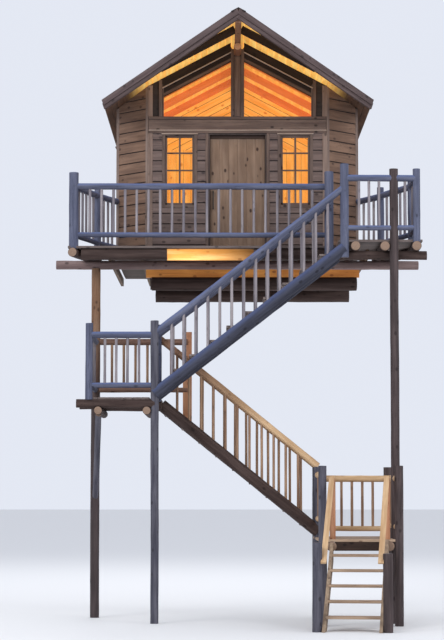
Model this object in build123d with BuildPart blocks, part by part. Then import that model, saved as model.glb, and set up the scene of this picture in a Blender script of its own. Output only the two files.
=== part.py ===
from build123d import *
from math import ceil, cos, radians, sin, sqrt, tan
import os

os.makedirs("parts", exist_ok=True)

# A tree house: a cabin with a prow gable roof on a railed log deck, reached by three flights of stairs.
# Millimetres. X runs to the right, Y away from the front, Z up.
# The origin is the middle of the main post's foot, at ground level.

# Floor levels above the ground
low_floor_z = 1350
mid_floor_z = 3610
deck_floor_z = 6160
ridge_top_z = 10000

# Plan lines, from the foot of the main post
house_x = 2400
front_row_y = -1640
upper_inner_y = -880
lower_outer_y = -730
back_row_y = 0
deck_front_y = -745
wall_y = 660
low_front_y = -2340

# Poles and logs
main_post_d = 150
landing_post_d = 130
tall_post_d = 140
newel_d = 150
slim_newel_d = 120
beam_log_d = 150
rim_log_d = 200
small_log_d = 156
carrying_log_d = 240
stringer_d = 190
handrail_d = 108
lower_rail_d = 86
baluster_d = 46
hewn = 8
log_sides = 16
rail_sides = 12
baluster_sides = 6
baluster_spacing = 200
corner_room = 4

# Boards
board_t = 38
tread_t = 40
tread_depth = 260
nosing = 20
housing = 60
notch_gap = 3
board_gap = 6

# Room by which a cutting shape reaches past what it cuts
cut_room = 100

# Rails, above the floor they guard
rail_height = 1000
lower_rail_height = 190
newel_height = 1230
low_newel_height = 1150

# Main post and its beam
joist_h = 140
joist_t = 50
joist_spacing = 540
deck_under_z = deck_floor_z - board_t
joist_under_z = deck_under_z - joist_h
main_beam_z = joist_under_z - beam_log_d / 2 + hewn
main_beam_left_x = -670
main_beam_right_x = 5450

# Middle landing
upper_edge_x = 1020
lower_edge_x = 1135
landing_post_x = 1050
mid_left_x = -10
mid_log_d = 136
mid_log_over = 200
cross_log_d = 130
mid_under_z = mid_floor_z - board_t
mid_log_z = mid_under_z - mid_log_d / 2 + hewn
cross_top_z = mid_log_z - mid_log_d / 2 + hewn
cross_log_z = cross_top_z - cross_log_d / 2 + hewn
cross_log_over = 70
inner_newel_x = 1060
inner_newel_y = (upper_inner_y + lower_outer_y) / 2
newel_board_x = 1547
newel_board_w = 150
newel_board_t = 45
brace_d = 100
brace_foot_z = 1900

# Upper flight, from the middle landing up to the bay of the deck
upper_risers = 11
bay_edge_x = 4020
upper_rise = (deck_floor_z - mid_floor_z) / upper_risers
upper_going = (bay_edge_x - upper_edge_x) / (upper_risers - 1)
upper_slope = upper_rise / upper_going
upper_drop = 206
upper_rail_rise = 780

# Lower flight, from the low landing up to the middle landing
lower_risers = 10
low_edge_x = 3660
lower_rise = (mid_floor_z - low_floor_z) / lower_risers
lower_going = (low_edge_x - lower_edge_x) / (lower_risers - 1)
lower_slope = lower_rise / lower_going
lower_drop = 90
lower_rail_rise = 980

# Low landing
low_newel_x = 3710
low_post_d = 130
low_right_x = 4910
low_newel_top_z = 2500
low_side_y = -2300
low_back_y = 20
low_left_rail_height = 300
low_under_z = low_floor_z - board_t
low_beam_z = low_under_z - small_log_d / 2 + hewn
low_rail_height = 960
low_lower_rail_height = 130

# Bottom stair, turned a little to the left as it comes down
bottom_risers = 6
bottom_going = 260
bottom_stair_x = 4286
bottom_turn = 8
bottom_width = 810
plank_t = 50
plank_depth = 220
plank_housing = 15
bottom_rise = low_floor_z / bottom_risers
bottom_slope = bottom_rise / bottom_going
bottom_rail_rise = 1000
bottom_rail_w = 85
bottom_rail_t = 45
foot_newel_d = 150
foot_newel_run = 1440
foot_newel_left_h = 1330
foot_newel_right_h = 1170
stair_newel_size = 85
stair_newel_back = 105

# Bay of the deck, over the front row of posts
bay_right_x = 5375
stair_top_x = 4110
stair_top_low_z = 5870
corner_x = 3905
corner_y = -785
bay_newel_x = 5280
bay_log_xs = [4290, low_right_x - tall_post_d / 2 - small_log_d / 2, bay_newel_x]
bay_log_back_y = 300
bay_beam_d = 146
bay_beam_z = joist_under_z - bay_beam_d / 2 + hewn
bay_beam_y = front_row_y + tall_post_d / 2 + bay_beam_d / 2

# Front edge of the deck
rim_y = deck_front_y + rim_log_d / 2
rim_z = deck_under_z - rim_log_d / 2 + hewn
rim_left_x = -205
rim_left_end_x = 1215
rim_right_x = 2662
rim_right_end_x = 4200
fascia_t = 38
left_newel_x = -335
left_newel_d = 158
front_rail_y = -680
rear_newel_y = 500
left_rear_x = 0
right_rear_x = 4860
deck_left_x = -446
deck_right_rear_x = 4945
deck_left_rear_x = -85

# Logs that the tree carries
carrying_front_y = 760
carrying_back_y = 3000
sawn_beam_h = 200
sawn_beam_t = 100
sawn_under_z = joist_under_z - sawn_beam_h
carrying_z = sawn_under_z - carrying_log_d / 2 + hewn
carrying_left_x = 920
carrying_right_x = 4450
sawn_left_x = 820
sawn_right_x = 4500

# Cabin
half_front = 1540
half_body = 2100
cabin_back_y = 4460
wall_t = 120
mitre = wall_t * tan(radians(22.5))
splay_y = wall_y + half_body - half_front
gable_h = 1428
header_h = 292
header_top_z = ridge_top_z - gable_h
header_low_z = header_top_z - header_h
window_half = 250
window_x = 1000
window_sill_h = 873
window_head_drop = 42
window_low_z = deck_floor_z + window_sill_h
window_top_z = header_low_z - window_head_drop
door_half = 505
jamb_t = 22
door_gap = 5
door_t = 45
hinge_d = 16
hinge_pin_d = 8
hinge_h = 120
hinge_w = 70
hinge_t = 3
hinge_play = 0.3
hinge_end = 250
pull_inset = 55
pull_drop = 100
pull_h = 280
pull_d = 22
pull_arm_d = 18
pull_out = 48
casing_w = 55
casing_t = 22
sash_w = 34
sash_t = 40
glass_t = 6
centre_post_half = 115
gable_glass_half = 1303
glass_drop = 320

# Roof
roof_slope = 0.53
covering_t = 34
lining_t = 25
eave_half = 2300
prow_y = -1550
eave_front_y = 100
roof_back_y = 4760
roof_stretch = sqrt(1 + roof_slope**2)
covering_drop = covering_t * roof_stretch
under_drop = (covering_t + lining_t) * roof_stretch
under_ridge_z = ridge_top_z - under_drop
prow_turn = (eave_front_y - prow_y) / eave_half
barge_t = 40
barge_h = 125
ridge_beam_half = 50
ridge_beam_h = 150
ridge_log_d = 130
ridge_log_out = 560
fly_rafter_y = -630
fly_rafter_t = 50
fly_rafter_h = 150
rafter_t = 60
rafter_h = 140
rafter_spacing = 1100
rafter_count = 3


def section_plane(start, run):
    """The plane across a pole at its start, with its second axis as near to upright as it can be."""
    if abs(run.X) + abs(run.Y) < 1:
        return Plane(origin=start, x_dir=(1, 0, 0), z_dir=run)
    return Plane(origin=start, x_dir=Vector(0, 0, 1).cross(run), z_dir=run)


def pole(start, end, diameter, flat=0, sides=log_sides, mode=Mode.ADD):
    """A straight pole or log, shaved to flats all round.

    The diameter is measured over two opposite flats, and flat is the depth hewn off top and underside.
    """
    run = Vector(*end) - Vector(*start)
    with BuildSketch(section_plane(start, run)) as section:
        RegularPolygon(diameter / 2, sides, major_radius=False, rotation=180 / sides)
        if flat:
            Rectangle(2 * diameter, diameter - 2 * flat, mode=Mode.INTERSECT)
    extrude(section.sketch, amount=run.length, mode=mode)


def block(low, high, mode=Mode.ADD):
    """A squared piece between two opposite corners."""
    size = Vector(*high) - Vector(*low)
    with BuildSketch(Plane.XY.offset(low[2])) as section:
        with Locations((low[0], low[1])):
            Rectangle(size.X, size.Y, align=(Align.MIN, Align.MIN))
    extrude(section.sketch, amount=size.Z, mode=mode)


def slab(corners, low_z, thickness, mode=Mode.ADD):
    """A level slab on the corners of its plan."""
    with BuildSketch(Plane.XY.offset(low_z)) as section:
        with BuildLine():
            Polyline(*corners, close=True)
        make_face()
    extrude(section.sketch, amount=thickness, mode=mode)


def gable_slice(corners, front_y, depth, mode=Mode.ADD):
    """A slice across the house: corners are X and Z, and it runs back from front_y."""
    with BuildSketch(Plane.XZ.offset(-front_y)) as section:
        with BuildLine():
            Polyline(*corners, close=True)
        make_face()
    extrude(section.sketch, amount=-depth, mode=mode)


def steps_between(start, end, spacing):
    """Evenly spaced distances between two ends, at most the spacing apart."""
    count = max(1, ceil(abs(end - start) / spacing) - 1)
    return [start + (end - start) * (step + 1) / (count + 1) for step in range(count)]


def level_rail(
    start,
    end,
    floor_z,
    top=rail_height,
    low=lower_rail_height,
    inset=newel_d / 2,
    start_room=0,
    end_room=0,
):
    """A panel of two rails and its balusters, between the middles of two posts.

    A rail that meets another at a corner post stops at its room from the post's middle.
    """
    run = Vector(end[0] - start[0], end[1] - start[1], 0)
    along = run.normalized()
    for height, diameter in ((floor_z + top, handrail_d), (floor_z + low, lower_rail_d)):
        first = Vector(*start) + along * start_room
        last = Vector(*end) - along * end_room
        pole((first.X, first.Y, height), (last.X, last.Y, height), diameter, sides=rail_sides)
    for distance in steps_between(inset, run.length - inset, baluster_spacing):
        spot = Vector(*start) + along * distance
        foot = (spot.X, spot.Y, floor_z + low)
        pole(foot, (spot.X, spot.Y, floor_z + top), baluster_d, sides=baluster_sides)


def upper_pitch(x):
    """The line of the upper flight's nosings."""
    return mid_floor_z + upper_rise + (x - upper_edge_x) * upper_slope


def lower_pitch(x):
    """The line of the lower flight's nosings."""
    return mid_floor_z - (x - lower_edge_x) * lower_slope


def under_roof(distance):
    """Height of the roof lining's underside at a distance from the ridge."""
    return under_ridge_z - roof_slope * distance


def house_at(distance):
    """X of a point at a distance to the right of the house's centre line."""
    return house_x + distance


def trim_to_roof():
    """Cut off what stands above the underside of the roof lining."""
    far = eave_half + cut_room
    corners = [
        (house_at(-far), under_roof(far)),
        (house_at(0), under_ridge_z),
        (house_at(far), under_roof(far)),
        (house_at(far), ridge_top_z + far),
        (house_at(-far), ridge_top_z + far),
    ]
    gable_slice(
        corners,
        prow_y - cut_room,
        roof_back_y - prow_y + 2 * cut_room,
        mode=Mode.SUBTRACT,
    )


def cut_by_poles(poles, gap=0):
    """Cope or notch the part round poles given as foot, top and diameter."""
    for foot, top, diameter in poles:
        pole(foot, top, diameter + 2 * gap, mode=Mode.SUBTRACT)


# The bottom stair has its own turned plane, and comes down towards its negative second axis
turn = radians(bottom_turn)
stair_across = Vector(cos(turn), -sin(turn), 0)
stair_back = Vector(sin(turn), cos(turn), 0)
stair_top = Vector(bottom_stair_x, low_front_y, 0)
stair_plane = Plane(origin=stair_top, x_dir=stair_across, z_dir=(0, 0, 1))
plank_x = bottom_width / 2 + plank_t / 2
plank_rise = plank_depth * sqrt(1 + bottom_slope**2)


def stair_spot(across, back, z):
    """A point given across the bottom stair, back from its top edge, and up."""
    return stair_top + stair_across * across + stair_back * back + Vector(0, 0, z)


# Room that keeps two rails apart at a square corner, and at the sharper left corner of the deck
square_room = handrail_d / 2 + corner_room
sharp_room = left_newel_d / 2 - corner_room

# Where the posts and newels stand, each as foot, top and diameter
main_post_run = ((0, 0, 0), (0, 0, main_beam_z - beam_log_d / 2 + hewn), main_post_d)
landing_post_run = (
    (landing_post_x, front_row_y, 0),
    (landing_post_x, front_row_y, mid_floor_z + newel_height),
    landing_post_d,
)
tall_post_run = (
    (low_right_x, front_row_y, 0),
    (low_right_x, front_row_y, deck_floor_z + low_newel_height),
    tall_post_d,
)
mid_corner_run = (
    (mid_left_x, front_row_y, mid_under_z),
    (mid_left_x, front_row_y, mid_floor_z + newel_height - 40),
    slim_newel_d,
)
inner_newel_run = (
    (inner_newel_x, inner_newel_y, mid_under_z),
    (inner_newel_x, inner_newel_y, mid_floor_z + newel_height),
    newel_d,
)
low_post_runs = [
    ((low_newel_x, lower_outer_y, 0), (low_newel_x, lower_outer_y, low_newel_top_z), low_post_d),
    ((low_newel_x, back_row_y, 0), (low_newel_x, back_row_y, low_newel_top_z), low_post_d),
    ((low_newel_x, low_side_y, 0), (low_newel_x, low_side_y, low_newel_top_z), low_post_d),
    ((low_right_x, back_row_y, 0), (low_right_x, back_row_y, low_newel_top_z), tall_post_d),
    ((low_right_x, low_side_y, 0), (low_right_x, low_side_y, low_newel_top_z), tall_post_d),
]
left_newel_run = (
    (left_newel_x, front_rail_y, deck_under_z),
    (left_newel_x, front_rail_y, deck_floor_z + newel_height),
    left_newel_d,
)
corner_newel_run = (
    (corner_x, corner_y, stair_top_low_z),
    (corner_x, corner_y, deck_floor_z + newel_height),
    newel_d,
)
stair_top_run = (
    (stair_top_x, front_row_y, stair_top_low_z),
    (stair_top_x, front_row_y, deck_floor_z + newel_height),
    tall_post_d,
)
bay_newel_run = (
    (bay_newel_x, front_row_y, deck_under_z),
    (bay_newel_x, front_row_y, deck_floor_z + low_newel_height),
    slim_newel_d,
)
bay_back_run = (
    (bay_newel_x, front_rail_y, deck_under_z),
    (bay_newel_x, front_rail_y, deck_floor_z + low_newel_height),
    slim_newel_d,
)
left_rear_run = (
    (left_rear_x, rear_newel_y, deck_under_z),
    (left_rear_x, rear_newel_y, deck_floor_z + low_newel_height),
    slim_newel_d,
)
right_rear_run = (
    (right_rear_x, rear_newel_y, deck_under_z),
    (right_rear_x, rear_newel_y, deck_floor_z + low_newel_height),
    slim_newel_d,
)
foot_newel_x = plank_x + plank_t / 2 + foot_newel_d / 2
foot_newel_runs = [
    (
        tuple(stair_spot(side * foot_newel_x, -foot_newel_run, 0)),
        tuple(stair_spot(side * foot_newel_x, -foot_newel_run, height)),
        foot_newel_d,
    )
    for side, height in ((-1, foot_newel_left_h), (1, foot_newel_right_h))
]
deck_newel_runs = [
    left_newel_run,
    corner_newel_run,
    stair_top_run,
    bay_newel_run,
    bay_back_run,
    left_rear_run,
    right_rear_run,
]

# Main post, from the ground to the main beam
with BuildPart() as main_post:
    pole(*main_post_run)

# The other posts: the middle landing's front post and the tall right post run up past their floors,
# five shorter ones carry the low landing, and two stand at the foot of the bottom stair
with BuildPart() as ground_posts:
    for run in [landing_post_run, tall_post_run, *low_post_runs, *foot_newel_runs]:
        pole(*run)

# Main beam, a log across the front of the platform
with BuildPart() as main_beam:
    pole(
        (main_beam_left_x, back_row_y, main_beam_z),
        (main_beam_right_x, back_row_y, main_beam_z),
        beam_log_d,
        flat=hewn,
    )

# Two heavy logs that rest in the tree
with BuildPart() as carrying_logs:
    for y in (carrying_front_y, carrying_back_y):
        start = (carrying_left_x, y, carrying_z)
        pole(start, (carrying_right_x, y, carrying_z), carrying_log_d, flat=hewn)

# Sawn beams on the carrying logs, under the joists
with BuildPart() as sawn_beams:
    for y in (carrying_front_y, carrying_back_y):
        block(
            (sawn_left_x, y - sawn_beam_t / 2, sawn_under_z),
            (sawn_right_x, y + sawn_beam_t / 2, joist_under_z),
        )

# Joists from the front rim to the back of the cabin
joist_xs = [house_x + step * joist_spacing for step in range(-4, 5)]
with BuildPart() as deck_joists:
    for x in joist_xs:
        block(
            (x - joist_t / 2, rim_y + rim_log_d / 2, joist_under_z),
            (x + joist_t / 2, cabin_back_y, deck_under_z),
        )

# Rim logs along the front edge, and at the slanted left and right edges
side_rim_z = deck_under_z - small_log_d / 2 + hewn
with BuildPart() as rim_logs:
    pole((rim_left_x, rim_y, rim_z), (rim_left_end_x, rim_y, rim_z), rim_log_d, flat=hewn)
    pole((rim_right_x, rim_y, rim_z), (rim_right_end_x, rim_y, rim_z), rim_log_d, flat=hewn)
    pole(
        (left_newel_x - 15, deck_front_y - 20, side_rim_z),
        (left_rear_x - 5, rear_newel_y + 60, side_rim_z),
        small_log_d,
        flat=hewn,
    )
    pole(
        (bay_newel_x - 10, deck_front_y + 10, side_rim_z),
        (right_rear_x, rear_newel_y + 60, side_rim_z),
        small_log_d,
        flat=hewn,
    )
    block(
        (bay_newel_x - 300, deck_front_y - 200, joist_under_z - 50),
        (bay_newel_x + 300, deck_front_y, deck_under_z + 50),
        mode=Mode.SUBTRACT,
    )

# Sawn board that closes the front edge between the two rim logs
with BuildPart() as front_fascia:
    block(
        (rim_left_end_x, rim_y + rim_log_d / 2 - fascia_t, rim_z - rim_log_d / 2 + hewn),
        (rim_right_x, rim_y + rim_log_d / 2, deck_under_z),
    )

# Log joists of the bay, over the bay beam and the main beam
with BuildPart() as bay_logs:
    for x in bay_log_xs:
        back_y = deck_front_y if x == bay_newel_x else bay_log_back_y
        pole((x, front_row_y - 60, side_rim_z), (x, back_y, side_rim_z), small_log_d, flat=hewn)

# Bay beam, behind the front row of posts
with BuildPart() as bay_beam:
    pole(
        (stair_top_x, bay_beam_y, bay_beam_z),
        (main_beam_right_x, bay_beam_y, bay_beam_z),
        bay_beam_d,
        flat=hewn,
    )

# Deck floor round the front of the cabin, in four plain pieces
front_left = house_at(-half_front)
front_right = house_at(half_front)
with BuildPart() as deck_floor:
    slab(
        [
            (deck_left_x, deck_front_y),
            (front_left - board_gap / 2, deck_front_y),
            (front_left - board_gap / 2, wall_y),
            (house_at(-half_body), splay_y),
            (deck_left_rear_x, rear_newel_y + 10),
        ],
        deck_under_z,
        board_t,
    )
    slab(
        [
            (front_left + board_gap / 2, deck_front_y),
            (front_right - board_gap / 2, deck_front_y),
            (front_right - board_gap / 2, wall_y),
            (front_left + board_gap / 2, wall_y),
        ],
        deck_under_z,
        board_t,
    )
    slab(
        [
            (front_right + board_gap / 2, deck_front_y),
            (bay_right_x, deck_front_y),
            (deck_right_rear_x, rear_newel_y + 10),
            (house_at(half_body), splay_y),
            (front_right + board_gap / 2, wall_y),
        ],
        deck_under_z,
        board_t,
    )
    slab(
        [
            (bay_edge_x, front_row_y),
            (bay_right_x, front_row_y),
            (bay_right_x, deck_front_y - board_gap),
            (bay_edge_x, deck_front_y - board_gap),
        ],
        deck_under_z,
        board_t,
    )
    cut_by_poles([*deck_newel_runs, tall_post_run], notch_gap)

# Newels of the deck
with BuildPart() as deck_rail_posts:
    for run in deck_newel_runs:
        pole(*run)
    cut_by_poles([((rim_right_x, rim_y, rim_z), (rim_right_end_x, rim_y, rim_z), rim_log_d)])

# Front rail of the deck, between the left newel and the corner newel
with BuildPart() as deck_rail_front:
    level_rail(
        (left_newel_x, front_rail_y),
        (corner_x, front_rail_y),
        deck_floor_z,
        start_room=sharp_room,
    )
    cut_by_poles([left_newel_run, corner_newel_run])

# Side rails of the deck, back to the cabin's corners
with BuildPart() as deck_rail_sides:
    level_rail(
        (left_newel_x, front_rail_y),
        (left_rear_x, rear_newel_y),
        deck_floor_z,
        start_room=sharp_room,
    )
    level_rail((left_rear_x, rear_newel_y), (house_at(-half_body), splay_y), deck_floor_z, inset=60)
    level_rail((bay_newel_x, front_rail_y), (right_rear_x, rear_newel_y), deck_floor_z)
    level_rail((right_rear_x, rear_newel_y), (house_at(half_body), splay_y), deck_floor_z, inset=60)
    cut_by_poles([left_newel_run, left_rear_run, right_rear_run, bay_back_run])
    slab(
        [
            (front_left, wall_y),
            (front_right, wall_y),
            (house_at(half_body), splay_y),
            (house_at(half_body), cabin_back_y),
            (house_at(-half_body), cabin_back_y),
            (house_at(-half_body), splay_y),
        ],
        deck_floor_z,
        header_low_z - deck_floor_z,
        mode=Mode.SUBTRACT,
    )

# Rails of the bay: two panels at the front and one at the right
with BuildPart() as bay_rails:
    level_rail((stair_top_x, front_row_y), (low_right_x, front_row_y), deck_floor_z)
    level_rail(
        (low_right_x, front_row_y),
        (bay_newel_x, front_row_y),
        deck_floor_z,
        end_room=square_room,
    )
    level_rail(
        (bay_newel_x, front_row_y),
        (bay_newel_x, front_rail_y),
        deck_floor_z,
        start_room=square_room,
    )
    cut_by_poles([stair_top_run, tall_post_run, bay_newel_run, bay_back_run])

# Floor of the middle landing, in two plain pieces
landing_middle_y = inner_newel_y
with BuildPart() as mid_landing_floor:
    block(
        (mid_left_x, front_row_y, mid_under_z),
        (upper_edge_x, landing_middle_y - board_gap / 2, mid_floor_z),
    )
    block(
        (mid_left_x, landing_middle_y + board_gap / 2, mid_under_z),
        (lower_edge_x, back_row_y, mid_floor_z),
    )
    cut_by_poles([main_post_run, landing_post_run, mid_corner_run, inner_newel_run], notch_gap)

# Three logs along the middle landing, under its floor
with BuildPart() as mid_landing_logs:
    pole(
        (mid_left_x - mid_log_over, front_row_y, mid_log_z),
        (landing_post_x, front_row_y, mid_log_z),
        mid_log_d,
        flat=hewn,
    )
    pole(
        (mid_left_x - mid_log_over, landing_middle_y, mid_log_z),
        (lower_edge_x, landing_middle_y, mid_log_z),
        mid_log_d,
        flat=hewn,
    )
    pole((0, back_row_y, mid_log_z), (lower_edge_x, back_row_y, mid_log_z), mid_log_d, flat=hewn)
    cut_by_poles([main_post_run, landing_post_run])

# Two cross logs below them, against the posts
cross_log_xs = [
    main_post_d / 2 + cross_log_d / 2,
    landing_post_x - landing_post_d / 2 - cross_log_d / 2,
]
with BuildPart() as mid_landing_cross_logs:
    for x in cross_log_xs:
        pole(
            (x, front_row_y - cross_log_over, cross_log_z),
            (x, back_row_y + cross_log_over, cross_log_z),
            cross_log_d,
            flat=hewn,
        )

# Newels of the middle landing that stand on its logs
with BuildPart() as mid_landing_newels:
    pole(*mid_corner_run)
    pole(*inner_newel_run)

# Rails of the middle landing
with BuildPart() as mid_landing_rails:
    level_rail(
        (mid_left_x, front_row_y),
        (landing_post_x, front_row_y),
        mid_floor_z,
        start_room=square_room,
    )
    level_rail(
        (mid_left_x, front_row_y),
        (0, back_row_y),
        mid_floor_z,
        start_room=square_room,
        end_room=square_room,
    )
    level_rail(
        (0, back_row_y),
        (newel_board_x - newel_board_w / 2, back_row_y),
        mid_floor_z,
        start_room=square_room,
    )
    cut_by_poles([main_post_run, mid_corner_run, landing_post_run])

# Slanted brace from the middle landing back to the main post
with BuildPart() as landing_brace:
    pole(
        (cross_log_xs[0], front_row_y + 60, cross_log_z),
        (0, back_row_y, brace_foot_z),
        brace_d,
    )
    cut_by_poles([main_post_run])
    block(
        (mid_left_x - 500, front_row_y - 500, cross_log_z - cross_log_d / 2 + hewn),
        (upper_edge_x, back_row_y, mid_floor_z),
        mode=Mode.SUBTRACT,
    )

# Stringers: logs hewn flat on top, with a housing for the end of each tread
upper_half_h = (stringer_d / 2 - hewn) * sqrt(1 + upper_slope**2)
lower_half_h = (stringer_d / 2 - hewn) * sqrt(1 + lower_slope**2)


def upper_tread_box(step, front_y, back_y, mode=Mode.ADD):
    """One tread of the upper flight, between two distances from the front."""
    top_z = mid_floor_z + step * upper_rise
    left_x = upper_edge_x + (step - 1) * upper_going - nosing
    low = (left_x, front_y, top_z - tread_t)
    block(low, (left_x + tread_depth, back_y, top_z), mode=mode)


def lower_tread_box(step, front_y, back_y, mode=Mode.ADD):
    """One tread of the lower flight, between two distances from the front."""
    top_z = low_floor_z + step * lower_rise
    right_x = low_edge_x - (step - 1) * lower_going + nosing
    low = (right_x - tread_depth, front_y, top_z - tread_t)
    block(low, (right_x, back_y, top_z), mode=mode)


reach = stringer_d / 2 - housing
upper_tread_front_y = front_row_y + reach
upper_tread_back_y = upper_inner_y - reach
lower_tread_front_y = lower_outer_y + reach
lower_tread_back_y = back_row_y - reach

with BuildPart() as upper_flight_stringers:
    for y, left_x, right_x in (
        (front_row_y, landing_post_x, stair_top_x),
        (upper_inner_y, upper_edge_x, bay_edge_x),
    ):
        start = (left_x - stringer_d, y, upper_pitch(left_x - stringer_d) - upper_drop)
        end = (right_x + stringer_d, y, upper_pitch(right_x + stringer_d) - upper_drop)
        pole(start, end, stringer_d, flat=hewn, sides=rail_sides)
        block((left_x - 500, y - 200, 0), (left_x, y + 200, deck_floor_z), mode=Mode.SUBTRACT)
        block((right_x, y - 200, 0), (right_x + 500, y + 200, 2 * deck_floor_z), mode=Mode.SUBTRACT)
    block(
        (upper_edge_x, upper_inner_y - 200, 0),
        (lower_edge_x + 200, upper_inner_y + 200, mid_under_z),
        mode=Mode.SUBTRACT,
    )
    block(
        (upper_edge_x, landing_middle_y - 50, 0),
        (lower_edge_x, landing_middle_y + 100, mid_floor_z),
        mode=Mode.SUBTRACT,
    )
    for step in range(1, upper_risers):
        upper_tread_box(step, upper_tread_front_y, upper_tread_back_y, mode=Mode.SUBTRACT)
    cut_by_poles([landing_post_run, stair_top_run, inner_newel_run, corner_newel_run])

with BuildPart() as upper_flight_treads:
    for step in range(1, upper_risers):
        upper_tread_box(step, upper_tread_front_y, upper_tread_back_y)
    cut_by_poles([inner_newel_run, corner_newel_run, landing_post_run], notch_gap)

with BuildPart() as lower_flight_stringers:
    for y in (lower_outer_y, back_row_y):
        left_x = lower_edge_x - stringer_d
        right_x = low_newel_x + stringer_d
        start = (left_x, y, lower_pitch(left_x) - lower_drop)
        end = (right_x, y, lower_pitch(right_x) - lower_drop)
        pole(start, end, stringer_d, flat=hewn, sides=rail_sides)
        block((left_x - 200, y - 200, 0), (lower_edge_x, y + 200, deck_floor_z), mode=Mode.SUBTRACT)
        block((low_newel_x, y - 200, 0), (right_x + 200, y + 200, mid_floor_z), mode=Mode.SUBTRACT)
    for step in range(1, lower_risers):
        lower_tread_box(step, lower_tread_front_y, lower_tread_back_y, mode=Mode.SUBTRACT)
    cut_by_poles(low_post_runs[:2])

with BuildPart() as lower_flight_treads:
    for step in range(1, lower_risers):
        lower_tread_box(step, lower_tread_front_y, lower_tread_back_y)
    cut_by_poles(low_post_runs[:2], notch_gap)


def flight_panel(y, left_x, right_x, pitch, slope, rail_rise, foot_drop, inset=newel_d / 2):
    """Handrail and balusters of a flight; the balusters end on the stringer's hewn top."""
    start = (left_x, y, pitch(left_x) + rail_rise)
    end = (right_x, y, pitch(right_x) + rail_rise)
    pole(start, end, handrail_d, sides=rail_sides)
    for x in steps_between(left_x + inset, right_x - inset, baluster_spacing):
        foot = (x, y, pitch(x) - foot_drop - baluster_d * abs(slope))
        pole(foot, (x, y, pitch(x) + rail_rise), baluster_d, sides=baluster_sides)
    with BuildSketch(Plane.XZ.offset(-y - 100)) as below:
        with BuildLine():
            Polyline(
                (left_x - 300, pitch(left_x - 300) - foot_drop),
                (right_x + 300, pitch(right_x + 300) - foot_drop),
                (right_x + 300, pitch(right_x + 300) - foot_drop - 400),
                (left_x - 300, pitch(left_x - 300) - foot_drop - 400),
                close=True,
            )
        make_face()
    extrude(below.sketch, amount=200, mode=Mode.SUBTRACT)


upper_foot_drop = upper_drop - upper_half_h
lower_foot_drop = lower_drop - lower_half_h

with BuildPart() as upper_flight_rails:
    for y, left_x, right_x in (
        (front_row_y, landing_post_x, stair_top_x),
        (upper_inner_y, inner_newel_x, corner_x),
    ):
        flight_panel(y, left_x, right_x, upper_pitch, upper_slope, upper_rail_rise, upper_foot_drop)
    cut_by_poles([landing_post_run, stair_top_run, inner_newel_run, corner_newel_run])

with BuildPart() as lower_flight_rails:
    flight_panel(
        lower_outer_y,
        inner_newel_x,
        low_newel_x,
        lower_pitch,
        lower_slope,
        lower_rail_rise,
        lower_foot_drop,
        inset=landing_post_d,
    )
    flight_panel(
        back_row_y,
        newel_board_x + newel_board_w / 2,
        low_newel_x,
        lower_pitch,
        lower_slope,
        lower_rail_rise,
        lower_foot_drop,
    )
    cut_by_poles([inner_newel_run, *low_post_runs[:2]])
    block(
        (newel_board_x - newel_board_w, back_row_y - newel_board_t, mid_under_z - 400),
        (newel_board_x + newel_board_w / 2, back_row_y + newel_board_t, mid_floor_z + newel_height),
        mode=Mode.SUBTRACT,
    )

# Sawn newels: a board on the back stringer, and two squared ones at the top of the bottom stair
newel_board_top_z = mid_floor_z + newel_height - 60
with BuildPart() as sawn_newels:
    with BuildSketch(Plane.XZ.offset(-back_row_y + newel_board_t / 2)):
        left_x = newel_board_x - newel_board_w / 2
        right_x = newel_board_x + newel_board_w / 2
        with BuildLine():
            Polyline(
                (left_x, lower_pitch(left_x) - lower_foot_drop),
                (right_x, lower_pitch(right_x) - lower_foot_drop),
                (right_x, newel_board_top_z),
                (left_x, newel_board_top_z),
                close=True,
            )
        make_face()
    extrude(amount=-newel_board_t)
    with BuildSketch(stair_plane.offset(low_floor_z)):
        with Locations((-plank_x, stair_newel_back), (plank_x, stair_newel_back)):
            Rectangle(stair_newel_size, stair_newel_size)
    extrude(amount=bottom_rail_rise - bottom_rail_t)

# Low landing
low_beam_left_x = low_newel_x + low_post_d / 2 + small_log_d / 2
low_beam_right_x = low_right_x - tall_post_d / 2 - small_log_d / 2
with BuildPart() as low_landing_floor:
    block(
        (low_edge_x, low_front_y, low_under_z),
        (low_right_x - tall_post_d / 2 + 10, low_back_y, low_floor_z),
    )
    cut_by_poles([*low_post_runs, tall_post_run], notch_gap)

with BuildPart() as low_landing_beams:
    for x in (low_beam_left_x, low_beam_right_x):
        pole(
            (x, low_front_y, low_beam_z),
            (x, back_row_y + low_post_d / 2, low_beam_z),
            small_log_d,
            flat=hewn,
        )

with BuildPart() as low_landing_rails:
    level_rail(
        (low_newel_x, low_side_y),
        (low_newel_x, lower_outer_y),
        low_floor_z,
        top=low_rail_height + 60,
        low=low_left_rail_height,
    )
    level_rail(
        (low_right_x, low_side_y),
        (low_right_x, front_row_y),
        low_floor_z,
        top=low_rail_height,
    )
    level_rail(
        (low_right_x, front_row_y),
        (low_right_x, back_row_y),
        low_floor_z,
        top=low_rail_height,
        end_room=square_room,
    )
    level_rail(
        (low_newel_x, back_row_y),
        (low_right_x, back_row_y),
        low_floor_z,
        top=low_rail_height,
        low=low_lower_rail_height,
        end_room=square_room,
    )
    cut_by_poles([*low_post_runs, tall_post_run])

def stair_tread(step, width, mode=Mode.ADD):
    """One plank tread of the bottom stair."""
    front = -(bottom_risers - step) * bottom_going - nosing
    with BuildSketch(stair_plane.offset(step * bottom_rise - tread_t)) as tread:
        with Locations((0, front + tread_depth / 2)):
            Rectangle(width, tread_depth)
    extrude(tread.sketch, amount=tread_t, mode=mode)


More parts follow.
